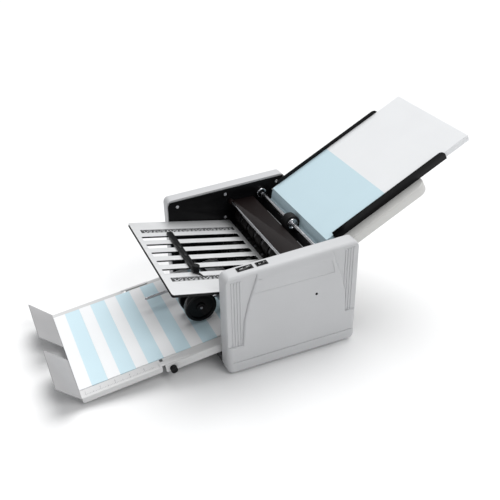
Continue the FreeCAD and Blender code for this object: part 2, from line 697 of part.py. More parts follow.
# Power inlet in the rear panel: a flanged socket with three flat pins
def power_inlet():
    panel = PAN_REAR
    wide = ("inlet_side - inlet_wide / 2 + gap", "inlet_side + inlet_wide / 2 - gap")
    tall = ("inlet_high - inlet_tall / 2 + gap", "inlet_high + inlet_tall / 2 - gap")
    case = block("inlet_case", (panel + " - inlet_deep", panel), wide, tall)
    flange = block("inlet_flange_plate", (panel, panel + " + inlet_flange"),
                   ("inlet_side - inlet_wide / 2 - inlet_border",
                    "inlet_side + inlet_wide / 2 + inlet_border"),
                   ("inlet_high - inlet_tall / 2 - inlet_border",
                    "inlet_high + inlet_tall / 2 + inlet_border"))
    well = block("inlet_well_space", (panel + " - inlet_well", panel + " + inlet_flange + overrun"),
                 ("inlet_side - inlet_wide / 2 + inlet_flange", "inlet_side + inlet_wide / 2 - inlet_flange"),
                 ("inlet_high - inlet_tall / 2 + inlet_flange", "inlet_high + inlet_tall / 2 - inlet_flange"))
    pins = []
    for index, rise in ((-1, 0), (0, 1), (1, 0)):
        y = "inlet_side + %d * pin_pitch" % index
        z = "inlet_high + %d * pin_wide" % rise
        pins.append(block("inlet_pin_%d" % (index + 1),
                          (panel + " - inlet_well - overrun", panel + " - inlet_well + pin_long"),
                          (y + " - pin_wide / 2", y + " + pin_wide / 2"), (z + " - pin_tall / 2",
                                                                           z + " + pin_tall / 2")))
    return node(join("power_inlet", [cut("inlet_shell", join("inlet_block", [case, flange]), [well])] + pins),
                "power_inlet")


power_inlet()

# Roller cover: a brown panel over the fold rollers that swings up about the bright hinge rod
PANEL_LEFT = "(hinge_rod_x + hinge_rod_radius + gap)"
PANEL_RIGHT = "(hinge_rod_x + panel_wide)"
PANEL_TOP = "(hinge_rod_z - panel_drop + panel_wall / 2)"
PANEL_SIDE = "(%s - plate_side_gap)" % PLATE_IN


def roller_cover():
    panel = layer("roller_cover_panel", [
        (PANEL_LEFT, PANEL_TOP + " - panel_wall"),
        (PANEL_RIGHT + " - panel_wall", PANEL_TOP + " - panel_wall"),
        (PANEL_RIGHT + " - panel_wall", PANEL_TOP + " - panel_lip"),
        (PANEL_RIGHT, PANEL_TOP + " - panel_lip"),
        (PANEL_RIGHT, PANEL_TOP),
        (PANEL_LEFT, PANEL_TOP),
    ], ("-" + PANEL_SIDE, PANEL_SIDE))
    pieces = [panel]
    bores = []
    for side, low in (("near", "-" + PANEL_SIDE), ("far", PANEL_SIDE + " - knuckle_wide")):
        across = (low, low + " + knuckle_wide")
        past = (low + " - overrun", low + " + knuckle_wide + overrun")
        pieces.append(cross_rod(side + "_knuckle", "knuckle_radius", across, "hinge_rod_x", "hinge_rod_z"))
        bores.append(cross_rod(side + "_knuckle_bore", "hinge_rod_radius + fit", past, "hinge_rod_x",
                               "hinge_rod_z"))
    return node(cut("roller_cover", join("roller_cover_solid", pieces), bores), "roller_cover")


roller_cover()


# Gears: true involute teeth on a polygon, thinned so that meshed teeth clear each other
def involute_point(base, roll):
    """A point of the involute of a circle, after it has unrolled by an angle."""
    return base * math.hypot(1, roll), roll - math.atan(roll)


PRESSURE_ANGLE = math.radians(20)
ROOT_DEPTH_SHARE = 1.25
TOOTH_GAP_SHARE = 0.5
FLANK_STEPS = 4


def gear_outline(teeth):
    """The corners of a spur gear about the origin, with a tooth centred on its first axis."""
    module = size("gear_module")
    pitch_radius = module * teeth / 2
    base = pitch_radius * math.cos(PRESSURE_ANGLE)
    tip, root = pitch_radius + module, pitch_radius - ROOT_DEPTH_SHARE * module
    slack_angle = size("gear_slack") / pitch_radius
    half_tooth = math.pi / (2 * teeth) + math.tan(PRESSURE_ANGLE) - PRESSURE_ANGLE - slack_angle
    last_roll = math.sqrt((tip / base) ** 2 - 1)
    flank = [involute_point(base, last_roll * step / FLANK_STEPS) for step in range(FLANK_STEPS + 1)]
    flank = [(root, 0)] + flank
    corners = []
    for tooth in range(teeth):
        middle = 2 * math.pi * tooth / teeth
        corners += [(radius, middle - half_tooth + swing) for radius, swing in flank]
        corners += [(radius, middle + half_tooth - swing) for radius, swing in reversed(flank)]
    return corners


def gear_shape(teeth, first_angle, bore, width):
    """A spur gear along Y from the origin, its first tooth at an angle in the XZ plane."""
    points = [FreeCAD.Vector(radius * math.cos(angle + first_angle), 0,
                             radius * math.sin(angle + first_angle))
              for radius, angle in gear_outline(teeth)]
    blank = Part.Face(Part.makePolygon(points + points[:1])).extrude(FreeCAD.Vector(0, width, 0))
    hole = Part.makeCylinder(bore, width, FreeCAD.Vector(), ACROSS)
    return blank.cut(hole)


def bearing_angle(start, end):
    """The direction from one point of the XZ plane to another."""
    return math.atan2(end[1] - start[1], end[0] - start[0])


def meshed_angle(teeth, towards, driver_teeth, driver_angle, driver_towards):
    """The first tooth's angle that puts a gap where the driver's tooth stands."""
    phase = (driver_towards - driver_angle) * driver_teeth / (2 * math.pi)
    tooth_share = phase - math.floor(phase)
    return towards + (tooth_share + TOOTH_GAP_SHARE) * 2 * math.pi / teeth


def gear(name, teeth, at, first_angle, bore):
    """One gear, outside the near side plate."""
    wheel = doc.addObject("Part::Feature", name)
    wheel.Shape = gear_shape(teeth, first_angle, bore, size("gear_wide"))
    return node(place(wheel, at + ".X", GEAR_Y, at + ".Z"), name)


def gear_train():
    """The gears on the four fold rollers, the idler and the feed gear, all in mesh at rest."""
    places = {roller: spot(roller + "_axis") for roller in ROLLERS}
    places["idler"], places["feed"] = spot("idler_axis"), spot("feed_axis")
    journal_bore = size("journal_radius") + size("fit")
    teeth = {roller: ROLLER_TEETH for roller in list(ROLLERS) + ["feed"]}
    teeth["idler"] = IDLER_TEETH
    bores = {roller: journal_bore for roller in ROLLERS}
    bores["idler"] = size("stud_radius") + size("running")
    bores["feed"] = size("feed_shaft_radius") + size("fit")
    angles = {"drive": 0}
    for driver, driven in (("drive", "upper"), ("drive", "left"), ("left", "exit"), ("upper", "idler"),
                           ("idler", "feed")):
        out = bearing_angle(places[driver], places[driven])
        angles[driven] = meshed_angle(teeth[driven], out + math.pi, teeth[driver], angles[driver], out)
    for name, angle in angles.items():
        gear(name + "_gear", teeth[name], name + "_axis", angle, bores[name])


gear_train()

# Fold rollers: a steel core with journals, rubber sleeves on it, and bearings in the side plates
HALF_FACE = "(%s - roller_end_gap)" % PLATE_IN
RING_PITCH = "((2 * %s - ring_wide - 2 * ring_margin) / (ring_count - 1))" % HALF_FACE
PULLEY_Y = "(-%s - pulley_out - pulley_wide)" % PLATE_OUT


def roller_core(roller):
    """A steel core. The drive roller's near journal is longer and carries the pulley."""
    near_end = PULLEY_Y if roller == "drive" else "(-%s - journal_reach)" % PLATE_OUT
    far_end = "(%s + 2 * bearing_lip)" % PLATE_OUT
    core = turned(roller + "_core", [
        ("0", near_end), ("journal_radius", near_end), ("journal_radius", "-" + HALF_FACE), ("roller_core",
                                                                                             "-" + HALF_FACE),
        ("roller_core", HALF_FACE), ("journal_radius", HALF_FACE), ("journal_radius", far_end), ("0",
                                                                                                 far_end),
    ])
    place(core, roller + "_axis.X", "0", roller + "_axis.Z")
    return node(core, roller + "_fold_roller")


def roller_sleeves(roller):
    """Evenly spaced rubber rings on one core."""
    count = int(size("ring_count"))
    rings = []
    for index in range(count):
        middle = "(%g * %s)" % (index - (count - 1) / 2, RING_PITCH)
        ring = turned("%s_ring_%d" % (roller, index), [
            ("roller_core + fit", middle + " - ring_wide / 2"), (ROLLER_RADIUS, middle + " - ring_wide / 2"),
            (ROLLER_RADIUS, middle + " + ring_wide / 2"), ("roller_core + fit", middle + " + ring_wide / 2"),
        ])
        rings.append(ring)
    sleeves = group(roller + "_rings", rings)
    place(sleeves, roller + "_axis.X", "0", roller + "_axis.Z")
    return node(sleeves, roller + "_roller_sleeves")


def bushing(name, side, sizes, x, z):
    """A flanged bearing pressed into one side plate: barrel, flange and bore."""
    barrel, flange, lip, bore = sizes
    outer, inner, end = PLATE_OUT, PLATE_IN, PLATE_IN + " - " + lip
    corners = [(bore, end), (flange, end), (flange, inner), (barrel, inner), (barrel, outer), (bore, outer)]
    if side == "near":
        corners = [(across, "-(%s)" % along) for across, along in corners]
    return place(turned(name, corners), x, "0", z)


for roller in ROLLERS:
    roller_core(roller)
    roller_sleeves(roller)
BEARING_SIZES = ("bearing_radius", "bearing_flange", "bearing_lip", "journal_radius + running")
BUSH_SIZES = ("bush_barrel", "bush_radius", "bush_wide", "feed_shaft_radius + running")
node(group("roller_bearings", [
    bushing("%s_%s_bearing" % (side, roller), side, BEARING_SIZES, roller + "_axis.X", roller + "_axis.Z")
    for side in ("near", "far") for roller in ROLLERS]), "roller_bearings")
node(group("feed_bushes", [
    bushing(side + "_feed_bush", side, BUSH_SIZES, "feed_x", "feed_z") for side in ("near",
                                                                                    "far")]), "feed_bushes")


# Feed roller: a bright shaft with its hub, and a rubber tyre round the hub
def feed_roller():
    near_end, far_end = GEAR_Y + " - running", PLATE_OUT + " + 2 * bearing_lip"
    hub = ("tyre_y - hub_wide / 2", "tyre_y + hub_wide / 2")
    shaft = cross_rod("feed_rod", "feed_shaft_radius", (near_end, far_end), "feed_x", "feed_z")
    disc = cross_rod("feed_hub_disc", "hub_radius", hub, "feed_x", "feed_z")
    node(join("feed_shaft", [shaft, disc]), "feed_shaft")
    tread = ("tyre_y - tyre_wide / 2", "tyre_y + tyre_wide / 2")
    past = (tread[0] + " - overrun", tread[1] + " + overrun")
    tyre = cross_rod("feed_tyre_disc", "tyre_radius", tread, "feed_x", "feed_z")
    bore = cross_rod("feed_tyre_bore", "hub_radius + fit", past, "feed_x", "feed_z")
    node(cut("feed_tyre", tyre, [bore]), "feed_tyre")


feed_roller()

# Motor and belt drive: the belt turns the drive roller's pulley
BELT_Y = "(%s + pulley_wide / 2)" % PULLEY_Y
BELT_SPAN = "hypot(motor_x - drive_axis.X; motor_z - drive_axis.Z)"
BELT_LINE = "atan2(motor_z - drive_axis.Z; motor_x - drive_axis.X)"
BELT_ANGLE = "acos((pulley_large - pulley_small) / %s)" % BELT_SPAN


def pulley_outline(radius, inner):
    """Half the outline of a pulley with two flanges, from its bore outwards."""
    low, high = PULLEY_Y, "(%s + pulley_wide)" % PULLEY_Y
    groove = ("(%s - belt_wide / 2 - gap)" % BELT_Y, "(%s + belt_wide / 2 + gap)" % BELT_Y)
    flange = "(%s + pulley_flange)" % radius
    return [(inner, low), (flange, low), (flange, groove[0]), (radius, groove[0]),
            (radius, groove[1]), (flange, groove[1]), (flange, high), (inner, high)]


def motor_and_pulleys():
    large = turned("drive_pulley", pulley_outline("pulley_large", "journal_radius + fit"))
    node(place(large, "drive_axis.X", "0", "drive_axis.Z"), "drive_pulley")
    shaft_end = "(shaft_depth - %s)" % PLATE_IN
    outline = pulley_outline("pulley_small", "0")[:-1]
    outline += [("motor_shaft_radius", PULLEY_Y + " + pulley_wide"), ("motor_shaft_radius", shaft_end),
                ("0", shaft_end)]
    outline[6] = ("(pulley_small + pulley_flange)", PULLEY_Y + " + pulley_wide")
    node(place(turned("motor_pulley", outline), "motor_x", "0", "motor_z"), "motor_pulley")
    can = cross_rod("motor_can", "motor_radius", ("-" + PLATE_IN, "motor_long - " + PLATE_IN), "motor_x",
                    "motor_z")
    boss = cross_rod("motor_boss", "boss_radius", ("-" + PLATE_OUT, "boss_long - " + PLATE_OUT), "motor_x",
                     "motor_z")
    bore = cross_rod("motor_bore", "motor_shaft_radius + running",
                     ("-%s - overrun" % PLATE_OUT, shaft_end + " + overrun"),
                     "motor_x", "motor_z")
    node(cut("drive_motor", join("motor_body", [can, boss]), [bore]), "drive_motor")


def belt_loop(name, extra, across):
    """The space inside a loop round both pulleys, at a distance from their grooves."""
    large, small = "(pulley_large + %s)" % extra, "(pulley_small + %s)" % extra
    corners = []
    for radius, at, sign in ((large, "drive_axis", "+"), (small, "motor_axis", "+"),
                             (small, "motor_axis", "-"), (large, "drive_axis", "-")):
        turn = "(%s %s %s)" % (BELT_LINE, sign, BELT_ANGLE)
        corners.append(("%s.X + %s * cos(%s)" % (at, radius, turn),
                        "%s.Z + %s * sin(%s)" % (at, radius, turn)))
    ends = [cross_rod(name + "_large_end", large, across, "drive_axis.X", "drive_axis.Z"),
            cross_rod(name + "_small_end", small, across, "motor_x", "motor_z")]
    return join(name, [layer(name + "_runs", corners, across)] + ends)


def drive_belt():
    low, high = "(%s - belt_wide / 2)" % BELT_Y, "(%s + belt_wide / 2)" % BELT_Y
    outside = belt_loop("belt_outside", "gap + belt_thick", (low, high))
    inside = belt_loop("belt_inside", "gap", (low + " - overrun", high + " + overrun"))
    node(cut("drive_belt", outside, [inside]), "drive_belt")


motor_and_pulleys()
drive_belt()

# Frames of the sloped parts: where each starts and how it tilts
FRAMES = {
    "table": ("table_foot_x", "table_foot_z", "-table_slope"),
    "ramp": ("table_foot_x", "table_foot_z", "180 - ramp_slope"),
    "chute": ("ramp_foot.X", "ramp_foot.Z", "180 - chute_slope"),
    "upper_chute": ("upper_chute_x", "upper_chute_z", "180 - upper_chute_slope"),
    "upper_plate": ("plate_end.X", "plate_end.Z", "plate_tilt"),
    "lower_plate": ("low_mouth_x", "low_mouth_z", "low_tilt"),
    "tray": ("tray_end_x", "tray_end_z", "-tray_slope"),
}


def set_in(frame, thing):
    """Move a finished piece from its own sloped frame to the machine."""
    x, z, tilt = FRAMES[frame]
    return place(thing, x, "0", z, tilt)


def mirrored_pair(side, low, high):
    """A stretch of Y on one side of the machine, from two distances off the middle."""
    return ("-(%s)" % high, "-(%s)" % low) if side == "near" else (low, high)


# Feed table: a pan turned upside down, with down-turned lips on three sides and two guide slots
STUD_Y = "(paper_wide / 2 + paper_side_gap - guide_stud_side)"


def table_shell(name, inset, long, deep, low):
    """One of the two rounded blocks that make the pan."""
    half = "(%s - %s)" % (PLATE_IN, inset)
    start = "0" if inset == "0" else "-overrun"
    shell = slab(name, "XY_Plane", [(start, "-" + half), (long, "-" + half), (long, half), (start, half)],
                 deep)
    round_edges(shell, "table_corner - %s" % inset,
                lambda edge: runs_along(edge, VERTICAL) and edge.BoundBox.XMin > size("table_corner"))
    return place(shell, z=low)


def feed_table():
    outer = table_shell("table_outside", "0", "table_long", "table_lip", "-table_lip")
    round_edges(outer, "table_edge_round", lambda edge: edge.BoundBox.ZMin > size("table_lip") - size("fit")
                and edge.BoundBox.XMax > size("overrun"))
    inner = table_shell("table_inside", "table_wall", "table_long - table_wall",
                        "table_lip - table_wall + overrun",
                        "-table_lip - overrun")
    slots = []
    for side in ("near", "far"):
        across = mirrored_pair(side, STUD_Y + " - clamp_stud_radius - clamp_stud_room",
                               STUD_Y + " + guide_travel + clamp_stud_radius + clamp_stud_room")
        slots.append(block(side + "_guide_slot", ("guide_stud_at - clamp_stud_radius - clamp_stud_room",
                                                  "guide_stud_at + clamp_stud_radius + clamp_stud_room"),
                           across, ("-table_wall - overrun", "overrun")))
    return node(set_in("table", cut("feed_table", outer, [inner] + slots)), "feed_table")


feed_table()


# Paper guides: black side walls with a foot under the paper, clamped by a knob under the table
def paper_guide(side):
    inner, outer = "(paper_wide / 2 + paper_side_gap)", "(paper_wide / 2 + paper_side_gap + guide_wall)"
    foot = "(%s - guide_foot)" % inner
    sign = "-" if side == "near" else ""
    profile = [(sign + across, up) for across, up in (
        (foot, "0"), (outer, "0"), (outer, "guide_tall"), (inner, "guide_tall"),
        (inner, "guide_foot_wall"), (foot, "guide_foot_wall"))]
    rail = slab(side + "_guide_rail", "YZ_Plane", profile, "guide_high - guide_low")
    round_edges(rail, "guide_corner", lambda edge: runs_along(edge, ACROSS)
                and edge.BoundBox.XMin > size("guide_corner") and edge.BoundBox.ZMin > size("guide_corner"))
    place(rail, "guide_low", "0", "gap")
    stud = post(side + "_guide_stud", "clamp_stud_radius", ("-clamp_reach", "gap + guide_foot_wall / 2"),
                "guide_stud_at", sign + STUD_Y)
    node(set_in("table", join(side + "_paper_guide", [rail, stud])), side + "_paper_guide")
    top = "(-table_wall - gap)"
    knob = post(side + "_knob_disc", "clamp_knob_radius", (top + " - clamp_knob_tall", top), "guide_stud_at",
                sign + STUD_Y)
    bore = post(side + "_knob_bore", "clamp_stud_radius + running",
                (top + " - clamp_knob_tall - overrun", top + " + overrun"),
                "guide_stud_at", sign + STUD_Y)
    node(set_in("table", cut(side + "_guide_knob", knob, [bore])), side + "_guide_knob")


paper_guide("near")
paper_guide("far")

# Feed ramp and chute: from the table's foot past the retard pad, then down to the first rollers
PAD_ALONG = "((table_foot_x - feed_x) * cos(ramp_slope) + (table_foot_z - feed_z) * sin(ramp_slope))"
PAD_REACH = "((table_foot_x - feed_x) * sin(ramp_slope) - (table_foot_z - feed_z) * cos(ramp_slope))"
PAD_RISE = "(%s - tyre_radius - pad_clear)" % PAD_REACH


def around(middle, length):
    """A stretch of a length about a middle."""
    return "(%s) - (%s) / 2" % (middle, length), "(%s) + (%s) / 2" % (middle, length)


def feed_ramp():
    plate = block("ramp_plate", ("ramp_wall / 2", "ramp_long"), WHOLE_WIDTH, ("0", "ramp_wall"))
    window = block("pad_window", around(PAD_ALONG, "pad_long + 2 * gap"),
                   around("tyre_y", "pad_wide + 2 * gap"),
                   ("-overrun", "ramp_wall + overrun"))
    rods = [cross_rod(side + "_lip_rod", "lip_rod_radius",
                      mirrored_pair(side, "lip_rod_start", "lip_rod_reach"),
                      "ramp_long", "ramp_wall / 2") for side in ("near", "far")]
    ramp = set_in("ramp", join("ramp_with_lip", [cut("ramp_with_window", plate, [window])] + rods))
    chute = block("chute_plate", ("-ramp_wall", "chute_long"), WHOLE_WIDTH, ("0", "ramp_wall"))
    chute = set_in("chute", group("chute_turned", [chute]))
    upper = block("upper_chute_plate", ("0", "upper_chute_long"), WHOLE_WIDTH, ("-ramp_wall", "0"))
    upper = set_in("upper_chute", group("upper_chute", [upper]))
    node(group("feed_chutes", [join("feed_ramp", [ramp, chute]), upper]), "feed_chutes")
    holder = block("holder_block", around(PAD_ALONG, "holder_long"), ("-holder_wide / 2", "holder_wide / 2"),
                   ("ramp_wall", "ramp_wall + holder_thick"))
    node(set_in("ramp", group("pad_holder", [holder])), "pad_holder")
    pad_block = block("retard_pad_block", around(PAD_ALONG, "pad_long"), around("tyre_y", "pad_wide"),
                      ("-" + PAD_RISE, "ramp_wall"))
    node(set_in("ramp", group("retard_pad", [pad_block])), "retard_pad")


feed_ramp()

# Fold plates: two slotted sheets with the paper gap between them, joined by side bars
SLOT_COUNT = 5
LOW_SLOT_COUNT = 3
GAP_FLOOR = "(-fold_sheet - paper_gap)"


def slotted_sheet(name, long, half, slots, low, slot_half="slot_wide / 2"):
    """One sheet, with its slots along X on their middles."""
    sheet_body = slab(name, "XY_Plane", [("0", "-" + half), (long, "-" + half), (long, half), ("0", half)],
                      "fold_sheet")
    round_edges(sheet_body, "plate_round", lambda edge: runs_along(edge, VERTICAL)
                and edge.BoundBox.XMax < size("plate_round"))
    sketch = sketch_on(sheet_body, "XY_Plane")
    for middle in slots:
        near, far = "%s - (%s)" % (middle, slot_half), "%s + (%s)" % (middle, slot_half)
        end = long + " - slot_margin"
        add_outline(sketch, [("slot_margin", near), (end, near), (end, far), ("slot_margin", far)])
    pocket(sheet_body, sketch, "fold_sheet", backwards=True)
    return place(sheet_body, z=low)


def slot_middles(count, pitch, shift):
    """Where the slots of a fold plate run."""
    return ["(%s + %g * %s)" % (shift, index - (count - 1) / 2, pitch) for index in range(count)]


def side_bars(name, long, half):
    """Bars that hold a plate's two sheets apart."""
    return [block("%s_%s_bar" % (side, name), ("plate_round", long),
                  mirrored_pair(side, half + " - side_bar_wide", half),
                  (GAP_FLOOR, "-fold_sheet")) for side in ("near", "far")]


def upper_fold_plate():
    half = "(%s - plate_side_gap)" % PLATE_IN
    slots = slot_middles(SLOT_COUNT, "slot_pitch", "slot_shift")
    top = slotted_sheet("upper_plate_top_sheet", "plate_long", half, slots, "-fold_sheet")
    bottom = slotted_sheet("upper_plate_bottom_sheet", "plate_long", half, slots, GAP_FLOOR + " - fold_sheet",
                           "slot_wide / 2 + slot_widening")
    node(set_in("upper_plate", group("upper_plate_top", [top])), "upper_plate_top")
    node(set_in("upper_plate", join("upper_plate_bottom", [bottom] + side_bars("upper", "plate_long", half))),
         "upper_plate_bottom")
    top_of_rail = "(%s - fold_sheet - gap)" % GAP_FLOOR
    rail_long = "(mouth_x - body_front.X - rail_front) / cos(plate_tilt)"
    rails = [block(side + "_rail", ("plate_long - " + rail_long, "plate_long"),
                   mirrored_pair(side, PLATE_IN + " - rail_wide", PLATE_IN),
                   (top_of_rail + " - rail_wall", top_of_rail)) for side in ("near", "far")]
    node(set_in("upper_plate", group("plate_rails", rails)), "plate_rails")


def lower_fold_plate():
    slots = slot_middles(LOW_SLOT_COUNT, "low_slot_pitch", "0")
    top = slotted_sheet("lower_plate_top_sheet", "low_long", PLATE_IN, slots, "-fold_sheet")
    bottom = slotted_sheet("lower_plate_bottom_sheet", "low_long", PLATE_IN, slots,
                           GAP_FLOOR + " - fold_sheet")
    bars = side_bars("lower", "low_long", PLATE_IN)
    node(set_in("lower_plate", join("lower_fold_plate", [top, bottom] + bars)), "lower_fold_plate")


def stop_bar(name, at, middle, reach, slots):
    """A bar across a plate with a finger down through each of its slots."""
    bar = block(name + "_bar", around(at, "stop_wide"),
                ("%s - %s" % (middle, reach), "%s + %s" % (middle, reach)),
                ("stop_lift", "stop_lift + stop_tall"))
    fingers = [block("%s_finger_%d" % (name, index), around(at, "finger_long"), around(slot, "finger_wide"),
                     ("stop_lift - finger_down",
                      "stop_lift + stop_tall / 2")) for index, slot in enumerate(slots)]
    return [bar] + fingers


def upper_stop():
    pieces = stop_bar("upper_stop", "stop_at", "slot_shift", "stop_reach",
                      slot_middles(SLOT_COUNT, "slot_pitch", "slot_shift"))
    top = "(stop_lift + stop_tall)"
    stud_up = ("stop_lift + stop_tall / 2", top + " + stop_knob_tall / 2")
    pieces.append(post("stop_stud", "stop_stud_radius", stud_up, "stop_at", "stop_knob_y"))
    bar_end = "(slot_shift - stop_reach)"
    tip = ("stop_at + pointer_lean", bar_end + " - pointer_long")
    wedge = slab("stop_pointer", "XY_Plane",
                 [("stop_at", bar_end + " + stop_wide / 4"), ("stop_at - stop_wide / 4", bar_end), tip,
                  ("stop_at + stop_wide / 2", bar_end + " + stop_wide / 4")], "pointer_wall")
    pieces.append(place(wedge, z="stop_lift"))
    node(set_in("upper_plate", join("upper_stop", pieces)), "upper_stop")
    knob_low = top + " + gap"
    knob = post("stop_knob_disc", "stop_knob_radius", (knob_low, knob_low + " + stop_knob_tall"), "stop_at",
                "stop_knob_y")
    bore = post("stop_knob_bore", "stop_stud_radius + running",
                (knob_low + " - overrun", top + " + stop_knob_tall / 2 + gap"), "stop_at", "stop_knob_y")
    node(set_in("upper_plate", cut("upper_stop_knob", knob, [bore])), "upper_stop_knob")


def lower_stop():
    pieces = stop_bar("lower_stop", "low_stop_at", "0", "low_stop_reach",
                      slot_middles(LOW_SLOT_COUNT, "low_slot_pitch", "0"))
    handle = long_rod("lower_stop_handle", "handle_radius",
                      ("low_stop_at", "low_stop_at + stop_wide / 2 + handle_long"),
                      "0", "stop_lift + stop_tall / 2")
    node(set_in("lower_plate", join("lower_stop", pieces + [handle])), "lower_stop")


upper_fold_plate()
lower_fold_plate()
upper_stop()
lower_stop()

# Exit tray: two pans turned upside down. The outer one slides out and has two raised flaps
FIXED_START = "(extension_long + joint_gap)"
TRAY_NEAR = "(%s - tray_near_gap)" % PLATE_IN
TRAY_FAR = "(%s - tray_far_gap)" % PLATE_IN
FLAP_WIDE = "((%s + %s - flap_gap) / 2)" % (TRAY_NEAR, TRAY_FAR)


def tray_pan(name, long, lip):
    """A sheet with two down-turned lips along X."""
    body = slab(name, "YZ_Plane", [
        ("-" + TRAY_NEAR, "0"), (TRAY_FAR, "0"), (TRAY_FAR, "-" + lip), (TRAY_FAR + " - tray_wall",
                                                                         "-" + lip),
        (TRAY_FAR + " - tray_wall", "-tray_wall"), ("tray_wall - " + TRAY_NEAR, "-tray_wall"),
        ("tray_wall - " + TRAY_NEAR, "-" + lip), ("-" + TRAY_NEAR, "-" + lip),
    ], long)
    round_edges(body, "lip_round", lambda edge: runs_along(edge, ACROSS)
                and edge.BoundBox.ZMax < -size(lip) / 2)
    half_gap = size("paper_wide") / 2 + size("paper_margin")
    outer_edges = (size("tray_near_gap") - half_gap, half_gap - size("tray_far_gap"))
    round_edges(body, "tray_edge_round", lambda edge: runs_along(edge, ALONG)
                and edge.BoundBox.ZMin > -size("fit")
                and min(abs(edge.BoundBox.YMin - side) for side in outer_edges) < size("fit"))
    return body


def exit_tray():
    pan_body = place(tray_pan("fixed_tray_pan", "fixed_tray_long", "fixed_lip"), FIXED_START)
    deep = ("-tray_wall - overrun", "overrun")
    near_side = "near_tongue_wide + slit_side - " + TRAY_NEAR
    far_side = TRAY_FAR + " - far_tongue_wide - slit_side"
    near_slit = block("near_tray_slit", (FIXED_START + " - overrun", FIXED_START + " + slit_long"),
                      (near_side, near_side + " + slit_wide"), deep)
    far_slit = block("far_tray_slit", (FIXED_START + " - overrun", FIXED_START + " + far_slit_long"),
                     (far_side + " - slit_wide", far_side), deep)
    lock_hole = cross_rod("lock_hole", "lock_stud_radius + running",
                          ("-%s - overrun" % TRAY_NEAR, "tray_wall + overrun - " + TRAY_NEAR),
                          FIXED_START + " + lock_back", "-lock_drop")
    turned_pan = set_in("tray", cut("tray_with_holes", pan_body, [near_slit, far_slit, lock_hole]))
    tie_hole = cross_rod("tie_hole", "tie_radius + gap", WHOLE_WIDTH, *TIES["inner"])
    node(cut("exit_tray", turned_pan, [tie_hole]), "exit_tray")


def tray_flap(side, across):
    """A flap that rises outwards from the outer edge of the tray."""
    plate = block(side + "_flap_plate", ("-tray_wall", "flap_long"), across, ("0", "tray_wall"))
    return place(group(side + "_flap", [plate]), tilt="180 + flap_rise")


def tray_tongue(side, across):
    """A flat tongue on the sliding pan that rides over the fixed one."""
    start, end = "(extension_long - tongue_back)", "(extension_long - tongue_back + tongue_long)"
    strip = slab(side + "_tongue", "XY_Plane",
                 [(start, across[0]), (end, across[0]), (end, across[1]), (start, across[1])], "tongue_wall")
    round_edges(strip, "tongue_round", lambda edge: runs_along(edge, VERTICAL)
                and edge.BoundBox.XMin > size("extension_long"))
    seat = block(side + "_tongue_seat", (start, "extension_long"), across,
                 ("-tray_wall / 2", "tongue_lift + tongue_wall / 2"))
    return [place(strip, z="tongue_lift"), seat]


def tray_extension():
    pieces = [tray_pan("extension_pan", "extension_long", "extension_lip")]
    pieces.append(tray_flap("near", ("-" + TRAY_NEAR, "%s - %s" % (FLAP_WIDE, TRAY_NEAR))))
    pieces.append(tray_flap("far", ("%s - %s" % (TRAY_FAR, FLAP_WIDE), TRAY_FAR)))
    near_edge = "(tray_edge_round - %s)" % TRAY_NEAR
    pieces += tray_tongue("near", (near_edge, near_edge + " + near_tongue_wide - tray_edge_round"))
    far_edge = "(%s - tray_edge_round)" % TRAY_FAR
    pieces += tray_tongue("far", (far_edge + " - far_tongue_wide + tray_edge_round", far_edge))
    node(set_in("tray", join("tray_extension", pieces)), "tray_extension")


def tray_lock():
    x, z = FIXED_START + " + lock_back", "-lock_drop"
    face = "(-%s - gap)" % TRAY_NEAR
    knob = cross_rod("lock_knob_disc", "lock_radius", (face + " - lock_tall", face), x, z)
    stud = cross_rod("lock_knob_stud", "lock_stud_radius", (face, face + " + lock_stud_long"), x, z)
    node(set_in("tray", join("tray_lock_knob", [knob, stud])), "tray_lock_knob")


exit_tray()
tray_extension()
tray_lock()

# Stacker: a cross shaft that carries the arm of the two stacker wheels and the hold-down rod
SHEET_TOP = "(sheet_lift + sheet_thick + sheet_edge)"
point("stacker_pivot", "body_front.X + pivot_back", "pivot_z")
WHEEL_X = "(stacker_pivot.X - wheel_ahead)"
WHEEL_RISE = "(%s + wheel_radius + wheel_clear) / cos(tray_slope)" % SHEET_TOP
point("wheel_axle", WHEEL_X, TRAY_TOP % WHEEL_X + " + " + WHEEL_RISE)
ARM_SPAN = "hypot(wheel_ahead; pivot_z - wheel_axle.Z)"
ARM_SLOPE = "(atan2(pivot_z - wheel_axle.Z; wheel_ahead) / 1 deg)"
FRAMES["arm"] = ("stacker_pivot.X", "pivot_z", "180 - " + ARM_SLOPE)
FRAMES["rod"] = ("stacker_pivot.X", "pivot_z", "180 - rod_slope")


def wheel_arm():
    arm_y = around("wheel_y", "axle_boss_wide")
    collar = cross_rod("arm_collar", "collar_radius", around("wheel_y", "collar_wide"))
    rod = long_rod("arm_rod", "arm_radius", ("0", ARM_SPAN), "wheel_y")
    boss = cross_rod("arm_boss", "axle_boss", arm_y, ARM_SPAN)
    axle = cross_rod("arm_axle", "axle_radius", around("wheel_y", "wheel_pitch + wheel_wide + 2 * axle_end"),
                     ARM_SPAN)
    bore = cross_rod("arm_bore", "pivot_radius + running", around("wheel_y", "collar_wide + 2 * overrun"))
    node(set_in("arm", cut("wheel_arm", join("wheel_arm_solid", [collar, rod, boss, axle]), [bore])),
         "wheel_arm")


def stacker_wheels():
    wheels = []
    for side, sign in (("near", "-"), ("far", "+")):
        middle = "(wheel_y %s wheel_pitch / 2)" % sign
        axle = ("wheel_axle.X", "wheel_axle.Z")
        disc = cross_rod(side + "_wheel_disc", "wheel_radius", around(middle, "wheel_wide"), *axle)
        past = around(middle, "wheel_wide + 2 * overrun")
        bore = cross_rod(side + "_wheel_bore", "axle_radius + running", past, *axle)
        wheels.append(cut(side + "_wheel", disc, [bore]))
    node(group("stacker_wheels", wheels), "stacker_wheels")


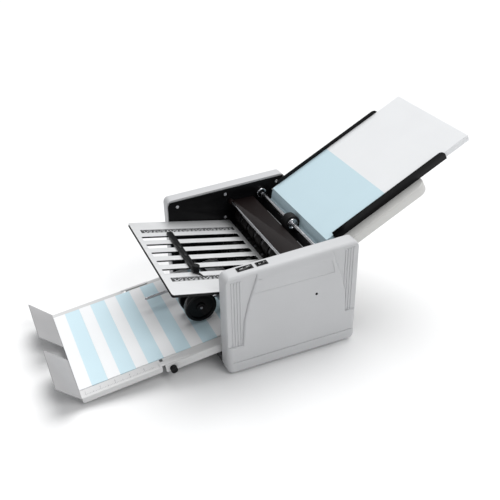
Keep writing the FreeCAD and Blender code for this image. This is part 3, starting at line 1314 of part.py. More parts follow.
def hold_down_rod():
    collar = cross_rod("rod_collar", "collar_radius", around("rod_y", "collar_wide"))
    rod = long_rod("hold_down_bar", "arm_radius", ("0", "rod_long"), "rod_y")
    tip = doc.addObject("Part::Sphere", "hold_down_tip")
    bind(tip, "Radius", "arm_radius")
    place(tip, "rod_long", "rod_y")
    bore = cross_rod("rod_bore", "pivot_radius + running", around("rod_y", "collar_wide + 2 * overrun"))
    node(set_in("rod", cut("hold_down_rod", join("hold_down_solid", [collar, rod, tip]), [bore])),
         "hold_down_rod")


node(cross_rod("stacker_shaft", "pivot_radius", WHOLE_WIDTH, "stacker_pivot.X", "pivot_z"), "stacker_shaft")
wheel_arm()
stacker_wheels()
hold_down_rod()

# Paper: the stack on the feed table, bent over its foot, and the folded sheets on the tray
STACK_FLOOR = "(gap + guide_foot_wall + stack_rest)"
STACK_BEND = "(ramp_slope - table_slope)"
STACK_NOSE_SHARES = ((0.63, 0.05), (0.15, 0.76), (0, 1))


def feed_stack():
    nose_x = "(stack_front * cos(%s) + stack_rest * sin(%s))" % (STACK_BEND, STACK_BEND)
    nose_z = "(stack_rest * cos(%s) - stack_front * sin(%s))" % (STACK_BEND, STACK_BEND)
    corners = [("stack_long", STACK_FLOOR), ("0", STACK_FLOOR), ("-" + nose_x, nose_z)]
    corners += [("-%s * %g" % (nose_x, back), "%s + stack_thick * %g" % (STACK_FLOOR, up)) for back,
                up in STACK_NOSE_SHARES[:-1]]
    corners += [("0", STACK_FLOOR + " + stack_thick"), ("stack_long", STACK_FLOOR + " + stack_thick")]
    paper = set_in("table",
                   group("stack_turned",
                         [layer("stack_block", corners, ("-paper_wide / 2", "paper_wide / 2"))]))
    across = around("tyre_y", "tyre_wide + 2 * tyre_room")
    notch = cross_rod("tyre_notch", "tyre_radius + tyre_room", across, "feed_x", "feed_z")
    start = "(%s - pad_long / 2 - gap)" % PAD_ALONG
    wedge = layer("tyre_wedge", [
        ("feed_x", "feed_z"),
        ("ramp_foot.X - tyre_room", "ramp_foot.Z"),
        ("ramp_foot.X + ramp_wall", "ramp_foot.Z - ramp_wall"),
        ("table_foot_x - (%s - ramp_wall) * cos(ramp_slope)" % start,
         "table_foot_z - (%s + ramp_wall) * sin(ramp_slope)" % start),
        ("table_foot_x - %s * cos(ramp_slope)" % start, "table_foot_z - %s * sin(ramp_slope)" % start),
    ], around("tyre_y", "pad_wide + 2 * gap"))
    node(cut("feed_stack", paper, [notch, wedge]), "feed_stack")


def folded_sheets():
    """Sheets that lie like roof tiles: each one's outer edge rests on the sheet before it."""
    sheets = []
    for index in range(int(size("sheet_count"))):
        outer, following = "(%d * sheet_step)" % index, "(%d * sheet_step)" % (index + 1)
        corners = [(outer, "sheet_thick" if index else "0"), (outer, "sheet_thick + sheet_edge"),
                   (following, "sheet_thick"), (outer + " + sheet_fold", "0")]
        if index:
            corners.append(("%d * sheet_step + sheet_fold" % (index - 1), "0"))
        corners.reverse()
        sheets.append(layer("folded_sheet_%d" % index, corners, ("-paper_wide / 2", "paper_wide / 2")))
    lifted = place(group("sheets_lifted", sheets), z="sheet_lift")
    node(set_in("tray", group("folded_sheets", [lifted])), "folded_sheets")


feed_stack()
folded_sheets()

# Checks, then one file for each sub-part
doc.recompute()
for thing in doc.Objects:
    if "Invalid" in thing.State or "Error" in thing.State:
        raise RuntimeError("%s is not computed: %s" % (thing.Name, thing.State))
for thing in NODES:
    if thing.Shape.isNull() or not thing.Shape.isValid():
        raise RuntimeError("%s has no valid shape" % thing.Label)
    thing.Shape.exportStep("parts/%s.step" % thing.Label)
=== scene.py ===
import json
import math
import random

import bpy
from mathutils import Matrix, Vector

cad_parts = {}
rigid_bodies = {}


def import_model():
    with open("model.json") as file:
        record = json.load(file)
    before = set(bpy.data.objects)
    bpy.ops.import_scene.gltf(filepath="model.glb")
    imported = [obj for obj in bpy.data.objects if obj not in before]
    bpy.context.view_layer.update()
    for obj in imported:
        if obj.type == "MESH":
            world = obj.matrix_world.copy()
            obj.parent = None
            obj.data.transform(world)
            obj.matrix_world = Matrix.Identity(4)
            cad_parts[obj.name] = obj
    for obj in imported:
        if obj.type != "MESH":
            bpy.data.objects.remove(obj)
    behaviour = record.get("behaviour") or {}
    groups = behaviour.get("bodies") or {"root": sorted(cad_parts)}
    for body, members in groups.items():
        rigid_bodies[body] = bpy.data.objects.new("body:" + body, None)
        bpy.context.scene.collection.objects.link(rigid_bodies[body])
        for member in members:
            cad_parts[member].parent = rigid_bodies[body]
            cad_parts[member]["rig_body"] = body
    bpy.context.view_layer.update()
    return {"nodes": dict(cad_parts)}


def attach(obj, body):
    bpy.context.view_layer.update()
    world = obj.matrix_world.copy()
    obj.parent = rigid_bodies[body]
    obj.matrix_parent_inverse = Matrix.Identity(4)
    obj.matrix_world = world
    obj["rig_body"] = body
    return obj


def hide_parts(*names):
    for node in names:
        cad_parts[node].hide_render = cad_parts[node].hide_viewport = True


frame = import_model()
MM = 0.001

# Camera: the machine seen from the operator's side, from above and a little
# to the left, with the slight roll of a hand-held view. Its place and lens
# are the ones that lay the machine's straight edges over the real ones.
CAMERA_PLACE = Vector((-445.7, -1051.8, 849.7)) * MM
VIEW_LINE = Vector((0.3375, 0.7793, -0.5280)).normalized()
CAMERA_ROLL = math.radians(-1.0)
LENS, SENSOR = 53.07, 36
FRAME_SHIFT = (-0.0018, -0.0014)

level_right = VIEW_LINE.cross(Vector((0, 0, 1))).normalized()
level_up = level_right.cross(VIEW_LINE)
right = level_right * math.cos(CAMERA_ROLL) + level_up * math.sin(CAMERA_ROLL)
up = level_up * math.cos(CAMERA_ROLL) - level_right * math.sin(CAMERA_ROLL)
bpy.ops.object.camera_add(location=CAMERA_PLACE)
camera = bpy.context.object
camera.name = "camera"
camera.rotation_mode = "QUATERNION"
camera.rotation_quaternion = Matrix((right, up, -VIEW_LINE)).transposed().to_quaternion()
camera.data.lens = LENS
camera.data.sensor_width = SENSOR
camera.data.shift_x, camera.data.shift_y = FRAME_SHIFT
camera.data.clip_start, camera.data.clip_end = 0.05, 50
bpy.context.scene.camera = camera

# Studio: a plain white table in even light. Two broad soft lights fall from above, the
# stronger from behind the machine, so the tops are bright and the operator's side is in
# open shade. The weaker, from the front, reaches the tray under the fold plate.
HIGH_LIGHTS = (
    ("rear_light", (0.35, 0.4, 1), 50, 2.3),
    ("front_light", (0.4, -0.8, 1), 30, 0.9),
)
AIR_COLOUR, AIR_STRENGTH = (0.965, 0.98, 1, 1), 0.31

for name, source, spread, power in HIGH_LIGHTS:
    bpy.ops.object.light_add(type="SUN", location=source)
    light = bpy.context.object
    light.name = name
    light.data.energy = power
    light.data.angle = math.radians(spread)
    light.rotation_mode = "QUATERNION"
    light.rotation_quaternion = Vector(source).to_track_quat("Z", "Y")

air = bpy.data.worlds.new("studio_air")
air.use_nodes = True
air.node_tree.nodes["Background"].inputs["Color"].default_value = AIR_COLOUR
air.node_tree.nodes["Background"].inputs["Strength"].default_value = AIR_STRENGTH
bpy.context.scene.world = air
bpy.context.scene.view_settings.view_transform = "Standard"


def plain_finish(name, colour, roughness, metallic=0.0):
    """A finish with its shader set, before any grain or wear is added."""
    finish = bpy.data.materials.new(name)
    finish.use_nodes = True
    shader = shader_of(finish)
    shader.inputs["Base Color"].default_value = (*colour, 1)
    shader.inputs["Roughness"].default_value = roughness
    shader.inputs["Metallic"].default_value = metallic
    return finish


def shader_of(finish):
    return finish.node_tree.nodes["Principled BSDF"]


def add_step(finish, kind, values=None, **settings):
    """One node of a finish, with its settings and the numbers on its sockets."""
    step = finish.node_tree.nodes.new("ShaderNode" + kind)
    for name, value in settings.items():
        setattr(step, name, value)
    for socket, value in (values or {}).items():
        step.inputs[socket].default_value = value
    return step


def wire(finish, source, output, target, socket):
    """A link from one node's output to another's input."""
    finish.node_tree.links.new(source.outputs[output], target.inputs[socket])


def own_place(finish, start=(0, 0, 0), tilt=0.0):
    """The piece's own coordinates, measured from a sloped part's start along its slope."""
    place = add_step(finish, "TexCoord")
    local = add_step(finish, "Mapping", {"Location": start, "Rotation": (0, tilt, 0)}, vector_type="TEXTURE")
    wire(finish, place, "Object", local, "Vector")
    return local


def grain(finish, scale, detail=3.0, stretch=(1, 1, 1), tilt=0.0):
    """Noise with so many grains to the metre, which may be drawn out along a slope."""
    spread = add_step(finish, "Mapping", {"Scale": stretch})
    noise = add_step(finish, "TexNoise", {"Scale": scale, "Detail": detail})
    wire(finish, own_place(finish, tilt=tilt), "Vector", spread, "Vector")
    wire(finish, spread, "Vector", noise, "Vector")
    return noise


def tint(finish, source, output, dark, light):
    """The base colour runs from one colour to another with a node's value."""
    ramp = add_step(finish, "ValToRGB")
    low, high = ramp.color_ramp.elements
    low.position, high.position = 0.3, 0.7
    low.color, high.color = (*dark, 1), (*light, 1)
    wire(finish, source, output, ramp, "Fac")
    wire(finish, ramp, "Color", shader_of(finish), "Base Color")


def gloss_range(finish, source, output, low, high):
    """The roughness runs between two values with a node's value."""
    spread = add_step(finish, "MapRange", {"From Min": 0.3, "From Max": 0.7, "To Min": low, "To Max": high})
    wire(finish, source, output, spread, "Value")
    wire(finish, spread, "Result", shader_of(finish), "Roughness")


def relief(finish, source, output, height, under=None):
    """Small relief from a node's value, on top of another relief where one is given."""
    bump = add_step(finish, "Bump", {"Distance": height})
    wire(finish, source, output, bump, "Height")
    if under:
        wire(finish, under, "Normal", bump, "Normal")
    wire(finish, bump, "Normal", shader_of(finish), "Normal")
    return bump


def shaded(colour, share):
    return tuple(min(1.0, channel * share) for channel in colour)


def grained(name, colour, roughness, metallic=0.0, spread=0.05, cloud=22, fine=900, height=0.00004,
            stretch=(1, 1, 1), tilt=0.0, gloss=0.06, shine=0.5):
    """A finish with broad faint clouds of colour, and a fine grain in its gloss and relief."""
    finish = plain_finish(name, colour, roughness, metallic)
    shader_of(finish).inputs["Specular IOR Level"].default_value = shine
    tint(finish, grain(finish, cloud), "Fac", shaded(colour, 1 - spread), shaded(colour, 1 + spread))
    grains = grain(finish, fine, 2.0, stretch, tilt)
    gloss_range(finish, grains, "Fac", max(0.03, roughness - gloss), min(1, roughness + gloss))
    relief(finish, grains, "Fac", height)
    return finish


def let_go():
    """Nothing is selected any more."""
    bpy.ops.object.select_all(action="DESELECT")


FLOOR_WIDTH = 16
let_go()
bpy.ops.mesh.primitive_plane_add(size=FLOOR_WIDTH)
floor = bpy.context.object
floor.name = "floor"
TABLE_WHITE = (0.95, 0.95, 0.95)
table_top = grained("white_table_top", TABLE_WHITE, 0.6, spread=0.01, cloud=2, height=0.00001)
floor.data.materials.append(table_top)


# Side covers: two deep shells injection-moulded in light grey plastic, with a fine
# spark-eroded texture, ribbed ends and a shallow label place. Screws through the side
# plates pull them on.
MERGE_ROOM, FLAT_ANGLE = 0.005, 0.4
CUT_PAST = 1


def take(thing):
    """One object is selected and active."""
    let_go()
    thing.select_set(True)
    bpy.context.view_layer.objects.active = thing


def smooth(thing, angle=35):
    """Smooth shading, but for edges sharper than an angle in degrees."""
    take(thing)
    bpy.ops.object.shade_smooth_by_angle(angle=math.radians(angle))


def bevelled(thing, width, steps=2, angle=35):
    """Sharp edges broken by a bevel of a width in millimetres, as on a moulding."""
    take(thing)
    bevel = thing.modifiers.new("broken_edges", "BEVEL")
    bevel.width = width * MM
    bevel.segments = steps
    bevel.limit_method = "ANGLE"
    bevel.angle_limit = math.radians(angle)
    bpy.ops.object.modifier_apply(modifier=bevel.name)
    smooth(thing, angle)
    return thing


def cut_away(piece, tool):
    """One piece cut out of another, and the tool thrown away."""
    take(piece)
    boolean = piece.modifiers.new("cut", "BOOLEAN")
    boolean.operation = "DIFFERENCE"
    boolean.solver = "EXACT"
    boolean.object = tool
    bpy.ops.object.modifier_apply(modifier=boolean.name)
    bpy.data.objects.remove(tool)


def inside(spot, low, high):
    """Whether a point in millimetres lies in a box."""
    return all(a <= c <= b for a, c, b in zip(low, spot, high))


def broken_edges(node, finish, width, steps=2, angle=35, waste=()):
    """A node's own shape, facets joined and edges broken, that stands for the node.
    Waste pieces, which leave larger roundings, are cut away before the edges are broken."""
    source = frame["nodes"][node]
    piece = bpy.data.objects.new(node + "_finished", source.data.copy())
    bpy.context.scene.collection.objects.link(piece)
    take(piece)
    bpy.ops.mesh.customdata_custom_splitnormals_clear()
    bpy.ops.object.mode_set(mode="EDIT")
    bpy.ops.mesh.select_all(action="SELECT")
    bpy.ops.mesh.remove_doubles(threshold=MERGE_ROOM * MM)
    bpy.ops.mesh.dissolve_limited(angle_limit=math.radians(FLAT_ANGLE))
    bpy.ops.object.mode_set(mode="OBJECT")
    for tool in waste:
        cut_away(piece, tool)
    bevelled(piece, width, steps, angle)
    piece.data.materials.clear()
    piece.data.materials.append(finish)
    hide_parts(node)
    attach(piece, source["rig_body"])
    return piece


def faces_near(piece, places, finish):
    """The faces that lie in any of some boxes, in millimetres, get a second finish."""
    piece.data.materials.append(finish)
    for face in piece.data.polygons:
        centre = face.center / MM
        if any(inside(centre, low, high) for low, high in places):
            face.material_index = len(piece.data.materials) - 1


def dress(nodes, finish):
    """Nodes that keep their CAD shape get a finish."""
    for node in nodes:
        thing = frame["nodes"][node]
        thing.data.materials.clear()
        thing.data.materials.append(finish)


COVER_FACE = 161
ARC_STEPS, WALL_PAST = 9, 0.6
# Each border: its path in X and Z, how far it reaches over the face, and how deep it goes
BORDERS = {
    "upper_edge": (((-130, 197.7), (140, 208.5)), 20, 12),
    "front_ribs": (((-112, 60), (-76.5, 60), (-72.8, 109.8), (-64.9, 142.9), (-53.3, 178.9), (-44, 207)),
                   3.6, 3.6),
    "rear_ribs": (((82.6, 217), (93.5, 188.7), (107, 152.8), (116.2, 119.7), (120.5, 70), (150, 70)),
                  3.6, 3.6),
    "label_foot": (((-61, 160), (81, 160)), 3, 0.8),
    "label_head": (((75, 185), (-55, 185)), 2, 0.8),
    "base_band": (((130, 28.2), (-120, 28.2)), 3.5, 1.2),
}


def soft_border(path, side, reach, depth):
    """The waste outside a rounded border: a quarter ellipse, drawn along a path on a cover's face."""
    arc = [math.pi / 2 * step / ARC_STEPS for step in range(ARC_STEPS + 1)]
    profile = [(reach * (1 - math.sin(turn)), depth * (1 - math.cos(turn))) for turn in arc]
    profile += [(-WALL_PAST, depth), (-WALL_PAST, -CUT_PAST), (reach, -CUT_PAST)]
    runs = [(Vector(end) - Vector(start)).normalized() for start, end in zip(path, path[1:])]
    sections = []
    for index, (x, z) in enumerate(path):
        before, after = runs[max(0, index - 1)], runs[min(index, len(runs) - 1)]
        lean = Vector((before.y + after.y, -before.x - after.x)) / (1 + before.dot(after))
        sections.append([Vector((x + lean.x * out, side * (COVER_FACE - deep), z + lean.y * out)) * MM
                         for out, deep in profile])
    let_go()
    bpy.ops.mesh.primitive_circle_add(vertices=len(profile), radius=MM, fill_type="NGON")
    tool = bpy.context.object
    tool.name = "border_waste"
    for vertex, spot in zip(tool.data.vertices, sections[0]):
        vertex.co = spot
    for last, section in zip(sections, sections[1:]):
        bpy.ops.object.mode_set(mode="EDIT")
        bpy.ops.mesh.extrude_region_move()
        bpy.ops.object.mode_set(mode="OBJECT")
        for vertex in tool.data.vertices:
            if vertex.select:
                nearest = min(range(len(last)), key=lambda index: (last[index] - vertex.co).length)
                vertex.co = section[nearest]
    bpy.ops.object.mode_set(mode="EDIT")
    bpy.ops.mesh.select_all(action="SELECT")
    bpy.ops.mesh.normals_make_consistent(inside=False)
    bpy.ops.object.mode_set(mode="OBJECT")
    return tool


COVER_GREY = (0.57, 0.575, 0.585)
HOLE_X, HOLE_Z, HOLE_ROOM = 60, 125.5, 2.6
HOLE_FLOOR, HOLE_RIM = 158.5, 160.98
cover_plastic = grained("textured_grey_plastic", COVER_GREY, 0.48, spread=0.025, cloud=9, fine=1400,
                        height=0.00006)
# Painted shade: the floor and walls of the small shallow hole in each cover are black, standing for the shade
# inside it.
cover_hole_painted_shade = grained("hole_painted_shade", (0.01, 0.01, 0.01), 0.6, fine=900, shine=0.2)
for node, side in (("near_cover", -1), ("far_cover", 1)):
    tools = [soft_border(path, side, reach, depth) for path, reach, depth in BORDERS.values()]
    cover = broken_edges(node, cover_plastic, 0.5, angle=28, waste=tools)
    low_y, high_y = sorted((side * HOLE_FLOOR, side * HOLE_RIM))
    faces_near(cover, [((HOLE_X - HOLE_ROOM, low_y, HOLE_Z - HOLE_ROOM),
                        (HOLE_X + HOLE_ROOM, high_y, HOLE_Z + HOLE_ROOM))], cover_hole_painted_shade)

# Frame: two black powder-coated steel plates, a folded base pan, bright cross
# bars between them, and four moulded rubber feet under the pan. The covers'
# screws show as small pan heads on the inner faces of the plates.
BLACK_COAT, BLACK_ENAMEL = (0.0035, 0.0035, 0.004), (0.004, 0.004, 0.0045)
PAN_GREY, FOOT_GREY = (0.075, 0.075, 0.08), (0.03, 0.03, 0.03)
black_steel = grained("black_powder_coat", BLACK_COAT, 0.45, spread=0.15, cloud=60, fine=700, height=0.0001,
                      shine=0.12)
black_thin = grained("black_enamel", BLACK_ENAMEL, 0.34, spread=0.1, cloud=40, fine=1200, height=0.00003,
                     shine=0.18)
pan_steel = grained("dark_grey_paint", PAN_GREY, 0.42, spread=0.08, cloud=30, fine=800, height=0.00005)
foot_rubber = grained("moulded_rubber", FOOT_GREY, 0.75, spread=0.15, cloud=80, fine=1500, height=0.00012)
bright_rod = grained("drawn_bright_bar", (0.78, 0.78, 0.8), 0.16, 1.0, spread=0.03, fine=500, height=0.000008,
                     stretch=(6, 0.05, 6), gloss=0.05)
for node in ("near_side_plate", "far_side_plate"):
    broken_edges(node, black_steel, 0.3)
broken_edges("base_pan", pan_steel, 0.3)
broken_edges("rubber_feet", foot_rubber, 1.2, steps=3)
dress(("tie_bars",), bright_rod)

SCREW_RADIUS, SCREW_HEAD, SCREW_FACE = 3.2, 1.8, 128.7
SCREW_SPOTS = ((-84.5, 184.7), (13.2, 189.6), (122.3, 194.5), (11.8, 139.9))
SCREW_TURN = 0.7
CROSS_LONG, CROSS_WIDE, CROSS_DEEP = 3.6, 0.8, 1.1
screw_steel = grained("bright_zinc", (0.72, 0.73, 0.75), 0.25, 1.0, spread=0.05, cloud=300, fine=2500,
                      height=0.00001)


def new_block(name, low, high):
    """A box between two corners in millimetres."""
    let_go()
    centre = [(a + b) / 2 * MM for a, b in zip(low, high)]
    bpy.ops.mesh.primitive_cube_add(size=1, location=centre)
    block = bpy.context.object
    block.name = name
    block.scale = [(b - a) * MM for a, b in zip(low, high)]
    bpy.ops.object.transform_apply(location=True, rotation=True, scale=True)
    return block


def settle(piece, place, finish, body):
    """A finished piece is moved from its own frame to the machine, and rides on a body."""
    piece.data.transform(place)
    piece.data.materials.clear()
    piece.data.materials.append(finish)
    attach(piece, body)
    return piece


def join_pieces(name, pieces):
    """Several meshes become one object."""
    let_go()
    for piece in pieces:
        piece.select_set(True)
    bpy.context.view_layer.objects.active = pieces[0]
    bpy.ops.object.join()
    whole = bpy.context.object
    whole.name = name
    return whole


def screw_head():
    """A pan head that faces up its own Z, with a cross recess."""
    let_go()
    bpy.ops.mesh.primitive_cylinder_add(vertices=32, radius=SCREW_RADIUS * MM, depth=SCREW_HEAD * MM,
                                        location=(0, 0, SCREW_HEAD / 2 * MM))
    head = bpy.context.object
    bpy.ops.object.transform_apply(location=True)
    for long, wide in ((CROSS_LONG, CROSS_WIDE), (CROSS_WIDE, CROSS_LONG)):
        cut_away(head, new_block("cross", (-long / 2, -wide / 2, SCREW_HEAD - CROSS_DEEP),
                                 (long / 2, wide / 2, SCREW_HEAD + CUT_PAST)))
    return bevelled(head, 0.45, 3)


heads = []
for index, (x, z) in enumerate(SCREW_SPOTS):
    for side in (-1, 1):
        head = screw_head()
        turn = Matrix.Rotation(math.radians(90 * side), 4, "X") @ Matrix.Rotation(index * SCREW_TURN, 4, "Z")
        head.data.transform(Matrix.Translation((x * MM, side * SCREW_FACE * MM, z * MM)) @ turn)
        heads.append(head)
screws = join_pieces("cover_screw_heads", heads)
settle(screws, Matrix(), screw_steel, "machine")
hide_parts("cover_screws")


# Feed table: an upside-down pan of sheet steel with rounded upper corners, painted warm
# light grey. Two black enamelled guides stand on it, clamped by knurled plastic knobs
# under the sheet.
TABLE_TILT = -27.6
WARM_GREY = (0.66, 0.655, 0.635)
KNURL_DEEP, DISH_SHARE, DISH_DEEP = 0.4, 0.28, 0.8


def sloped(x, z, tilt):
    """The frame of a sloped part: its start in millimetres, and its tilt about Y in degrees."""
    return Matrix.Translation((x * MM, 0, z * MM)) @ Matrix.Rotation(math.radians(tilt), 4, "Y")


TABLE = sloped(111.5, 179.7, TABLE_TILT)
tray_paint = grained("warm_grey_paint", WARM_GREY, 0.38, spread=0.02, cloud=12, fine=900, height=0.00004)
black_plastic = grained("black_moulding", (0.003, 0.003, 0.0035), 0.42, spread=0.12, cloud=70, fine=1800,
                        height=0.00005, shine=0.2)
broken_edges("feed_table", tray_paint, 0.5)
for node in ("near_paper_guide", "far_paper_guide"):
    broken_edges(node, black_thin, 0.35)


def knurled_knob(name, radius, tall, ribs, bore):
    """A knob that stands on Z = 0, with a ribbed side, a dished top and a bore (radius, depth) below."""
    let_go()
    bpy.ops.mesh.primitive_cylinder_add(vertices=2 * ribs, radius=(radius - KNURL_DEEP) * MM, depth=tall * MM,
                                        location=(0, 0, tall / 2 * MM))
    knob = bpy.context.object
    knob.name = name
    bpy.ops.object.transform_apply(location=True)
    knob.data.polygons.foreach_set("select", [False] * len(knob.data.polygons))
    sides = [face for face in knob.data.polygons if abs(face.normal.z) < 0.5]
    for face in sides[::2]:
        face.select = True
    bpy.ops.object.mode_set(mode="EDIT")
    bpy.ops.mesh.select_mode(type="FACE")
    bpy.ops.mesh.extrude_region_shrink_fatten(TRANSFORM_OT_shrink_fatten={"value": KNURL_DEEP * MM})
    bpy.ops.object.mode_set(mode="OBJECT")
    for face in knob.data.polygons:
        face.select = face.normal.z > 0.9 and face.area > (radius * MM) ** 2
    bpy.ops.object.mode_set(mode="EDIT")
    bpy.ops.mesh.inset(thickness=radius * DISH_SHARE * MM)
    bpy.ops.mesh.extrude_region_move(TRANSFORM_OT_translate={"value": (0, 0, -DISH_DEEP * MM)})
    bpy.ops.object.mode_set(mode="OBJECT")
    if bore[0]:
        let_go()
        bpy.ops.mesh.primitive_cylinder_add(vertices=32, radius=bore[0] * MM, depth=2 * bore[1] * MM)
        cut_away(knob, bpy.context.object)
    return bevelled(knob, 0.3, angle=40)


GUIDE_KNOB_RADIUS, GUIDE_KNOB_TALL = 9, 9
STUD_ALONG, STUD_SIDE, STUD_Z = 100, 96.35, -1.8
GUIDE_KNOB_BORE = (2.65, 12)
HANG = Matrix.Rotation(math.pi, 4, "X")
for side, sign in (("near", -1), ("far", 1)):
    knob = knurled_knob(side + "_clamp_knob", GUIDE_KNOB_RADIUS, GUIDE_KNOB_TALL, 18, GUIDE_KNOB_BORE)
    stud = Matrix.Translation((STUD_ALONG * MM, sign * STUD_SIDE * MM, STUD_Z * MM))
    settle(knob, TABLE @ stud @ HANG, black_plastic, side + "_guide_knob")
    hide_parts(side + "_guide_knob")


# Paper on the feed table: two-tone sheets of letter width, blue on their leading part and
# white on the other, in small lifts that don't lie quite flush. Each lift starts a little
# further back than the one under it, along the ramp.
PAPER_WHITE, PAPER_BLUE = (0.89, 0.9, 0.91), (0.62, 0.79, 0.86)
PAPER_CLOUDS = (0.97, 1.03)


def outline_block(name, outline, low, high):
    """A flat outline in X and Z, drawn out along Y between two places in millimetres."""
    let_go()
    bpy.ops.mesh.primitive_circle_add(vertices=len(outline), radius=MM, fill_type="NGON")
    piece = bpy.context.object
    piece.name = name
    for vertex, (x, z) in zip(piece.data.vertices, outline):
        vertex.co = (x * MM, low * MM, z * MM)
    bpy.ops.object.mode_set(mode="EDIT")
    bpy.ops.mesh.select_all(action="SELECT")
    bpy.ops.mesh.extrude_region_move(TRANSFORM_OT_translate={"value": (0, (high - low) * MM, 0)})
    bpy.ops.mesh.select_all(action="SELECT")
    bpy.ops.mesh.normals_make_consistent(inside=False)
    bpy.ops.object.mode_set(mode="OBJECT")
    return piece


def two_tone_paper(name, start, tilt, white_long, period):
    """Paper in two colours along a slope: white for a length, then blue for the rest of each period."""
    paper = plain_finish(name, PAPER_WHITE, 0.7)
    local = own_place(paper, start, tilt)
    split = add_step(paper, "SeparateXYZ")
    wire(paper, local, "Vector", split, "Vector")
    turn = add_step(paper, "Math", {1: period * MM}, operation="FLOORED_MODULO")
    wire(paper, split, "X", turn, 0)
    past = add_step(paper, "Math", {1: white_long * MM}, operation="GREATER_THAN")
    wire(paper, turn, "Value", past, 0)
    clouds = grain(paper, 14)
    whites, blues = (add_step(paper, "ValToRGB") for _ in range(2))
    for ramp, colour in ((whites, PAPER_WHITE), (blues, PAPER_BLUE)):
        for element, share in zip(ramp.color_ramp.elements, PAPER_CLOUDS):
            element.color = (*shaded(colour, share), 1)
        wire(paper, clouds, "Fac", ramp, "Fac")
    mixed = add_step(paper, "Mix", data_type="RGBA")
    wire(paper, past, "Value", mixed, 0)
    wire(paper, whites, "Color", mixed, 6)
    wire(paper, blues, "Color", mixed, 7)
    paper.node_tree.links.new(mixed.outputs[2], shader_of(paper).inputs["Base Color"])
    fibres = grain(paper, 1600, 3.0)
    gloss_range(paper, fibres, "Fac", 0.62, 0.78)
    relief(paper, fibres, "Fac", 0.00002)
    return paper


SHEET_WIDE, STACK_TOP_END, STACK_LOW, STACK_THICK = 215.9, 309.1, 1.7, 11.3
NOSE_BACK, NOSE_DROP = 19.6, -7.4
NOSE_STEPS, NOSE_LEAST = ((0, 1), (0.05, 0.63), (0.76, 0.15), (1, 0)), 0.01
LIFTS, LIFT_SHARE = 14, 0.93
LIFT_INSET, END_SCATTER, SIDE_SCATTER = 0.3, 0.9, 0.25
BLUE_LONG, STACK_WHITE, STACK_PERIOD = 131.3, 200, 400
TYRE_X, TYRE_Y, TYRE_Z = 88.5, -2, 177.5
TYRE_ROOM, TYRE_SLOT = 15.7, 19.4
draw = random.Random(7)


def nose_share(height):
    """How far forward a lift reaches, as a share of the lowest one's nose."""
    for (low, ahead), (high, behind) in zip(NOSE_STEPS, NOSE_STEPS[1:]):
        if height <= high:
            return ahead + (behind - ahead) * (height - low) / (high - low)
    return 0


def nose_place(share, height):
    """A point on a lift's sloped front part."""
    rest = STACK_LOW + STACK_THICK * height
    return -NOSE_BACK * share, rest + (NOSE_DROP - STACK_LOW) * share * (1 - height) ** 0.5


lifts = []
for index in range(LIFTS):
    low, high = index / LIFTS, (index + LIFT_SHARE) / LIFTS
    under, over = STACK_LOW + STACK_THICK * low, STACK_LOW + STACK_THICK * high
    end = STACK_TOP_END - draw.uniform(0, END_SCATTER)
    outline = [(end, under), (0, under), nose_place(nose_share(low), low)]
    if nose_share(high) >= NOSE_LEAST:
        outline.append(nose_place(nose_share(high), high))
    outline += [(0, over), (end, over)]
    half, shift = SHEET_WIDE / 2 - LIFT_INSET, draw.uniform(-SIDE_SCATTER, SIDE_SCATTER)
    lifts.append(outline_block("lift", outline, shift - half, shift + half))
feed_paper = join_pieces("feed_paper", lifts)
feed_paper.data.transform(TABLE)
let_go()
bpy.ops.mesh.primitive_cylinder_add(vertices=48, radius=TYRE_ROOM * MM, depth=TYRE_SLOT * MM,
                                    location=Vector((TYRE_X, TYRE_Y, TYRE_Z)) * MM,
                                    rotation=(math.pi / 2, 0, 0))
cut_away(feed_paper, bpy.context.object)
white_from = TABLE @ Vector((BLUE_LONG * MM, 0, 0))
stack_paper = two_tone_paper("two_tone_sheets", tuple(white_from), math.radians(TABLE_TILT), STACK_WHITE,
                             STACK_PERIOD)
settle(feed_paper, Matrix(), stack_paper, "machine")
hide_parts("feed_stack")


# Feed roller: a bright ground shaft with a hub pressed on it, and a rubber tyre round the
# hub that drags the top sheet off the stack. Black bushes in bright rings carry it.
SPIN_MERGE = 0.002


def lathed(name, profile, x=0, z=0, steps=64):
    """A piece turned about a line along Y, from a closed profile of radius and place along Y."""
    let_go()
    bpy.ops.mesh.primitive_circle_add(vertices=len(profile), radius=MM)
    piece = bpy.context.object
    piece.name = name
    for vertex, (radius, along) in zip(piece.data.vertices, profile):
        vertex.co = (radius * MM, along * MM, 0)
    bpy.ops.object.mode_set(mode="EDIT")
    bpy.ops.mesh.select_all(action="SELECT")
    bpy.ops.mesh.spin(steps=steps, angle=2 * math.pi, center=(0, 0, 0), axis=(0, 1, 0))
    bpy.ops.mesh.select_all(action="SELECT")
    bpy.ops.mesh.remove_doubles(threshold=SPIN_MERGE * MM)
    bpy.ops.mesh.delete_loose(use_verts=True, use_edges=True, use_faces=False)
    bpy.ops.mesh.select_all(action="SELECT")
    bpy.ops.mesh.normals_make_consistent(inside=False)
    bpy.ops.object.mode_set(mode="OBJECT")
    piece.data.transform(Matrix.Translation((x * MM, 0, z * MM)))
    smooth(piece)
    return piece


def both_sides(profile):
    """The same profile on the other side of the machine."""
    return [(radius, -along) for radius, along in reversed(profile)]


